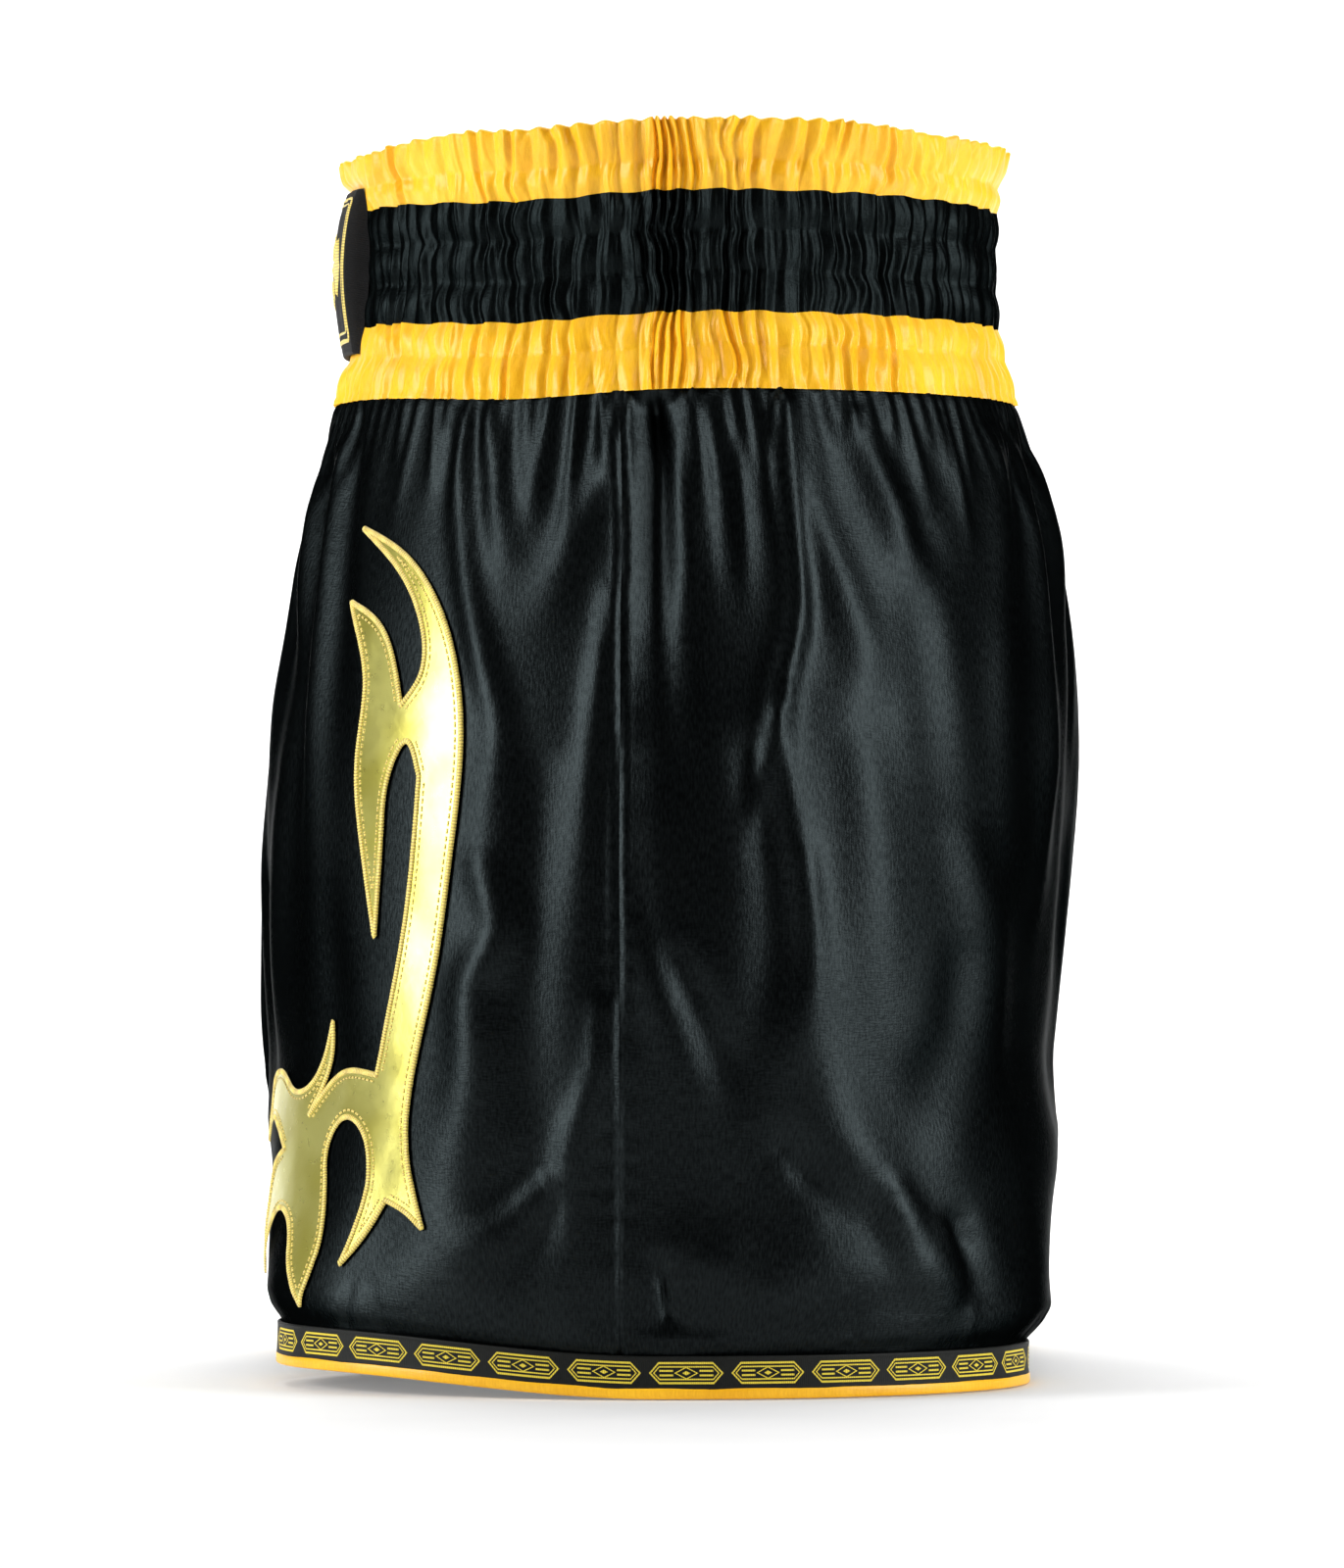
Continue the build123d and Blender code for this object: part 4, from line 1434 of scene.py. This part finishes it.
def woven_tape():
    """Black jacquard tape with a plain repeat: a long hexagon outline round a lozenge and bars."""
    s = Shader("woven_tape", Specular_IOR_Level=0.18)
    u, v = s.split()
    pitch, middle = 0.0255, 0.0082
    local = s.calc("SUBTRACT", s.calc("MODULO", s.calc("ADD", u, 1.0), pitch), pitch / 2)
    x = s.calc("ABSOLUTE", local)
    y = s.calc("ABSOLUTE", s.calc("SUBTRACT", v, middle))

    def band(distance, half):
        """1 within half of a line, 0 away from it."""
        return s.calc("SUBTRACT", 1.0, s.ramp(s.calc("ABSOLUTE", distance), half * 0.75, half * 1.25))

    slope = s.calc("MULTIPLY_ADD", y, 0.9, x)
    hexagon = s.calc("MAXIMUM", s.calc("SUBTRACT", slope, 0.0112), s.calc("SUBTRACT", y, 0.0031))
    outline = band(hexagon, 0.00032)
    inner = band(s.calc("ADD", hexagon, 0.00115), 0.00022)
    lozenge = s.calc("SUBTRACT", s.calc("MULTIPLY_ADD", y, 1.9, x), 0.0034)
    diamond = band(lozenge, 0.00034)
    dot = s.calc("SUBTRACT", 1.0, s.ramp(s.calc("MULTIPLY_ADD", y, 1.9, x), 0.0011, 0.0014))
    reach = s.calc("ABSOLUTE", s.calc("SUBTRACT", x, 0.0062))
    off = s.calc("ABSOLUTE", s.calc("SUBTRACT", y, 0.0007))
    bars = s.calc("MULTIPLY", s.calc("SUBTRACT", 1.0, s.ramp(reach, 0.0019, 0.0023)),
                  s.calc("SUBTRACT", 1.0, s.ramp(off, 0.00022, 0.00036)))
    motif = outline
    for more in (inner, diamond, dot, bars):
        motif = s.calc("MAXIMUM", motif, more)
    # Painted shade: the gold is darker between the ribs, where the rib bump dips.
    rib = s.wave(480, "X", 0.2)
    gold = s.mix(rib, (0.55, 0.40, 0.03, 1), (0.90, 0.74, 0.08, 1))
    black = s.mix(s.noise(700, 2), (0.002, 0.003, 0.002, 1), (0.008, 0.009, 0.008, 1))
    s.colour(s.mix(motif, black, gold))
    s.roughness(0.55)
    s.bump(rib, 0.0001, 0.4)
    s.bump(motif, 0.00022, 0.7)
    return s.material


def knitted_elastic():
    """White elastic with knitted ribs along it, with painted shade in the grooves between the ribs."""
    s = Shader("knitted_elastic", Sheen_Weight=0.1, Specular_IOR_Level=0.3)
    place = s.node("ShaderNodeNewGeometry").outputs["Position"]
    parts = s.node("ShaderNodeSeparateXYZ")
    s.put(parts.inputs[0], place)
    rib = s.calc("SINE", s.calc("MULTIPLY", parts.outputs[2], 5200))
    # Painted shade: the white turns grey in the grooves of the ribs, where the rib bump dips.
    s.colour(s.mix(s.calc("MULTIPLY_ADD", rib, 0.5, 0.5), (0.55, 0.54, 0.50, 1), (0.80, 0.79, 0.75, 1)))
    s.roughness(0.8)
    s.bump(rib, 0.0002, 0.5)
    return s.material


def label_cloth():
    """White woven label with a fine rib."""
    s = Shader("label_cloth", Sheen_Weight=0.15, Specular_IOR_Level=0.4)
    s.colour(s.mix(s.noise(900, 2, (1, 0.3, 1)), (0.62, 0.61, 0.57, 1), (0.80, 0.79, 0.76, 1)))
    s.roughness(0.55)
    s.bump(s.wave(500, "X", 0.4), 0.00008, 0.5)
    s.bump(s.wave(350, "Y", 0.4), 0.00008, 0.4)
    return s.material


def studio_paper():
    """Matt white paper with a faint grain."""
    s = Shader("studio_paper", Specular_IOR_Level=0.2)
    place = s.node("ShaderNodeTexCoord").outputs["Object"]
    grain = s.node("ShaderNodeTexNoise")
    s.put(grain.inputs["Vector"], place)
    s.put(grain.inputs["Scale"], 40)
    s.colour(s.mix(grain.outputs[0], (0.86, 0.86, 0.86, 1), (0.88, 0.88, 0.88, 1)))
    s.roughness(0.8)
    return s.material


# ---------------------------------------------------------------- studio


def add_camera():
    """Camera level with the shorts, on the wearer's left, where the photograph was taken from."""
    data = bpy.data.cameras.new("camera")
    data.lens = 209.9
    camera = bpy.data.objects.new("camera", data)
    camera.location = (3.0, 0.0, 0.19)
    camera.rotation_euler = (HALF_TURN, 0, HALF_TURN)
    bpy.context.scene.collection.objects.link(camera)
    bpy.context.scene.camera = camera


def add_light(name, place, aim, size, power):
    """Rectangular light of this many watts at a place, turned to a point."""
    data = bpy.data.lights.new(name, "AREA")
    data.shape, data.energy = "RECTANGLE", power
    data.size, data.size_y = size
    light = bpy.data.objects.new(name, data)
    light.location = place
    light.rotation_euler = (Vector(aim) - Vector(place)).to_track_quat("-Z", "Y").to_euler()
    bpy.context.scene.collection.objects.link(light)


FLOOR_REACH, WALL_TOP = 12000.0, 5000.0
FLOOR_DROP = 0.3  # the floor lies this far under the hems
SWEEP_START = -5200.0  # the floor turns up well beyond every place that a camera is put
SWEEP_RADIUS = 900.0


def add_studio():
    """Pale floor that sweeps up behind the shorts, soft lights on both sides."""
    across = np.linspace(-FLOOR_REACH, FLOOR_REACH, 3)
    profile = [(FLOOR_REACH, 0.0), (SWEEP_START, 0.0)]
    for turn in np.linspace(0.1, HALF_TURN, 12):
        back, up = SWEEP_RADIUS * math.sin(turn), SWEEP_RADIUS - SWEEP_RADIUS * math.cos(turn)
        profile.append((SWEEP_START - back, up))
    profile.append((SWEEP_START - SWEEP_RADIUS, WALL_TOP))
    grid = np.array([[(x, y, z - FLOOR_DROP) for y in across] for x, z in profile])
    floor = grid_piece("studio_floor", [(grid, grid[..., :2])], None, [False])
    floor.data.materials.append(studio_paper())
    world = bpy.data.worlds.new("studio")
    world.use_nodes = True
    world.node_tree.nodes["Background"].inputs[0].default_value = (1, 1, 1, 1)
    world.node_tree.nodes["Background"].inputs[1].default_value = 0.06
    bpy.context.scene.world = world
    add_light("front_softbox", (0.75, -2.3, 0.8), (0, 0, 0.2), (1.1, 1.8), 66)
    add_light("back_softbox", (1.0, 2.2, 0.8), (0, 0, 0.2), (1.1, 1.8), 60)
    add_light("top_softbox", (0.4, 0.0, 2.6), (0, 0, 0.2), (1.6, 1.6), 18)
    add_light("near_backdrop_light", (-1.2, 0.0, 2.6), (-3.2, 0, 0.6), (3.0, 1.0), 160)
    add_light("far_backdrop_light", (-4.7, 0.0, 4.2), (-6.0, 0, 0.6), (5.0, 1.2), 220)
    bpy.context.scene.view_settings.view_transform = "Standard"


# Darkest and lightest shade of each satin. The band's shades are set lower than the legs' for the same
# black satin: painted shade.
LEG_SHADES = (0.0070, 0.0088, 0.0092), (0.0160, 0.0198, 0.0206)
BAND_SHADES = (0.0045, 0.0060, 0.0062), (0.0090, 0.0118, 0.0122)
YELLOW_SHADES = (0.84, 0.40, 0.006), (1.0, 0.56, 0.020)


def main():
    """Camera, materials, the pieces from the legs to the elastics, and the studio."""
    add_camera()
    materials = {
        "black_satin": black_satin("black_satin", *LEG_SHADES, 0.385),
        "band_satin": black_satin("black_band_satin", *BAND_SHADES, 0.42),
        "yellow_satin": satin("yellow_satin", *YELLOW_SHADES, 0.37, 0.42, 1.45),
        "woven_patch": woven_patch(),
        "gold_thread": gold_thread(),
        "gold_foil": gold_foil(),
        "woven_tape": woven_tape(),
    }
    leg_grids = add_leg_panels(materials["black_satin"])
    pleats = add_waistband(materials)
    add_facing(pleats, lining())
    add_hem_trim(materials)
    add_patch(materials["woven_patch"])
    add_emblem(materials["gold_thread"])
    add_flames(leg_grids, materials)
    add_labels(label_cloth())
    add_elastics(knitted_elastic())
    add_studio()


main()
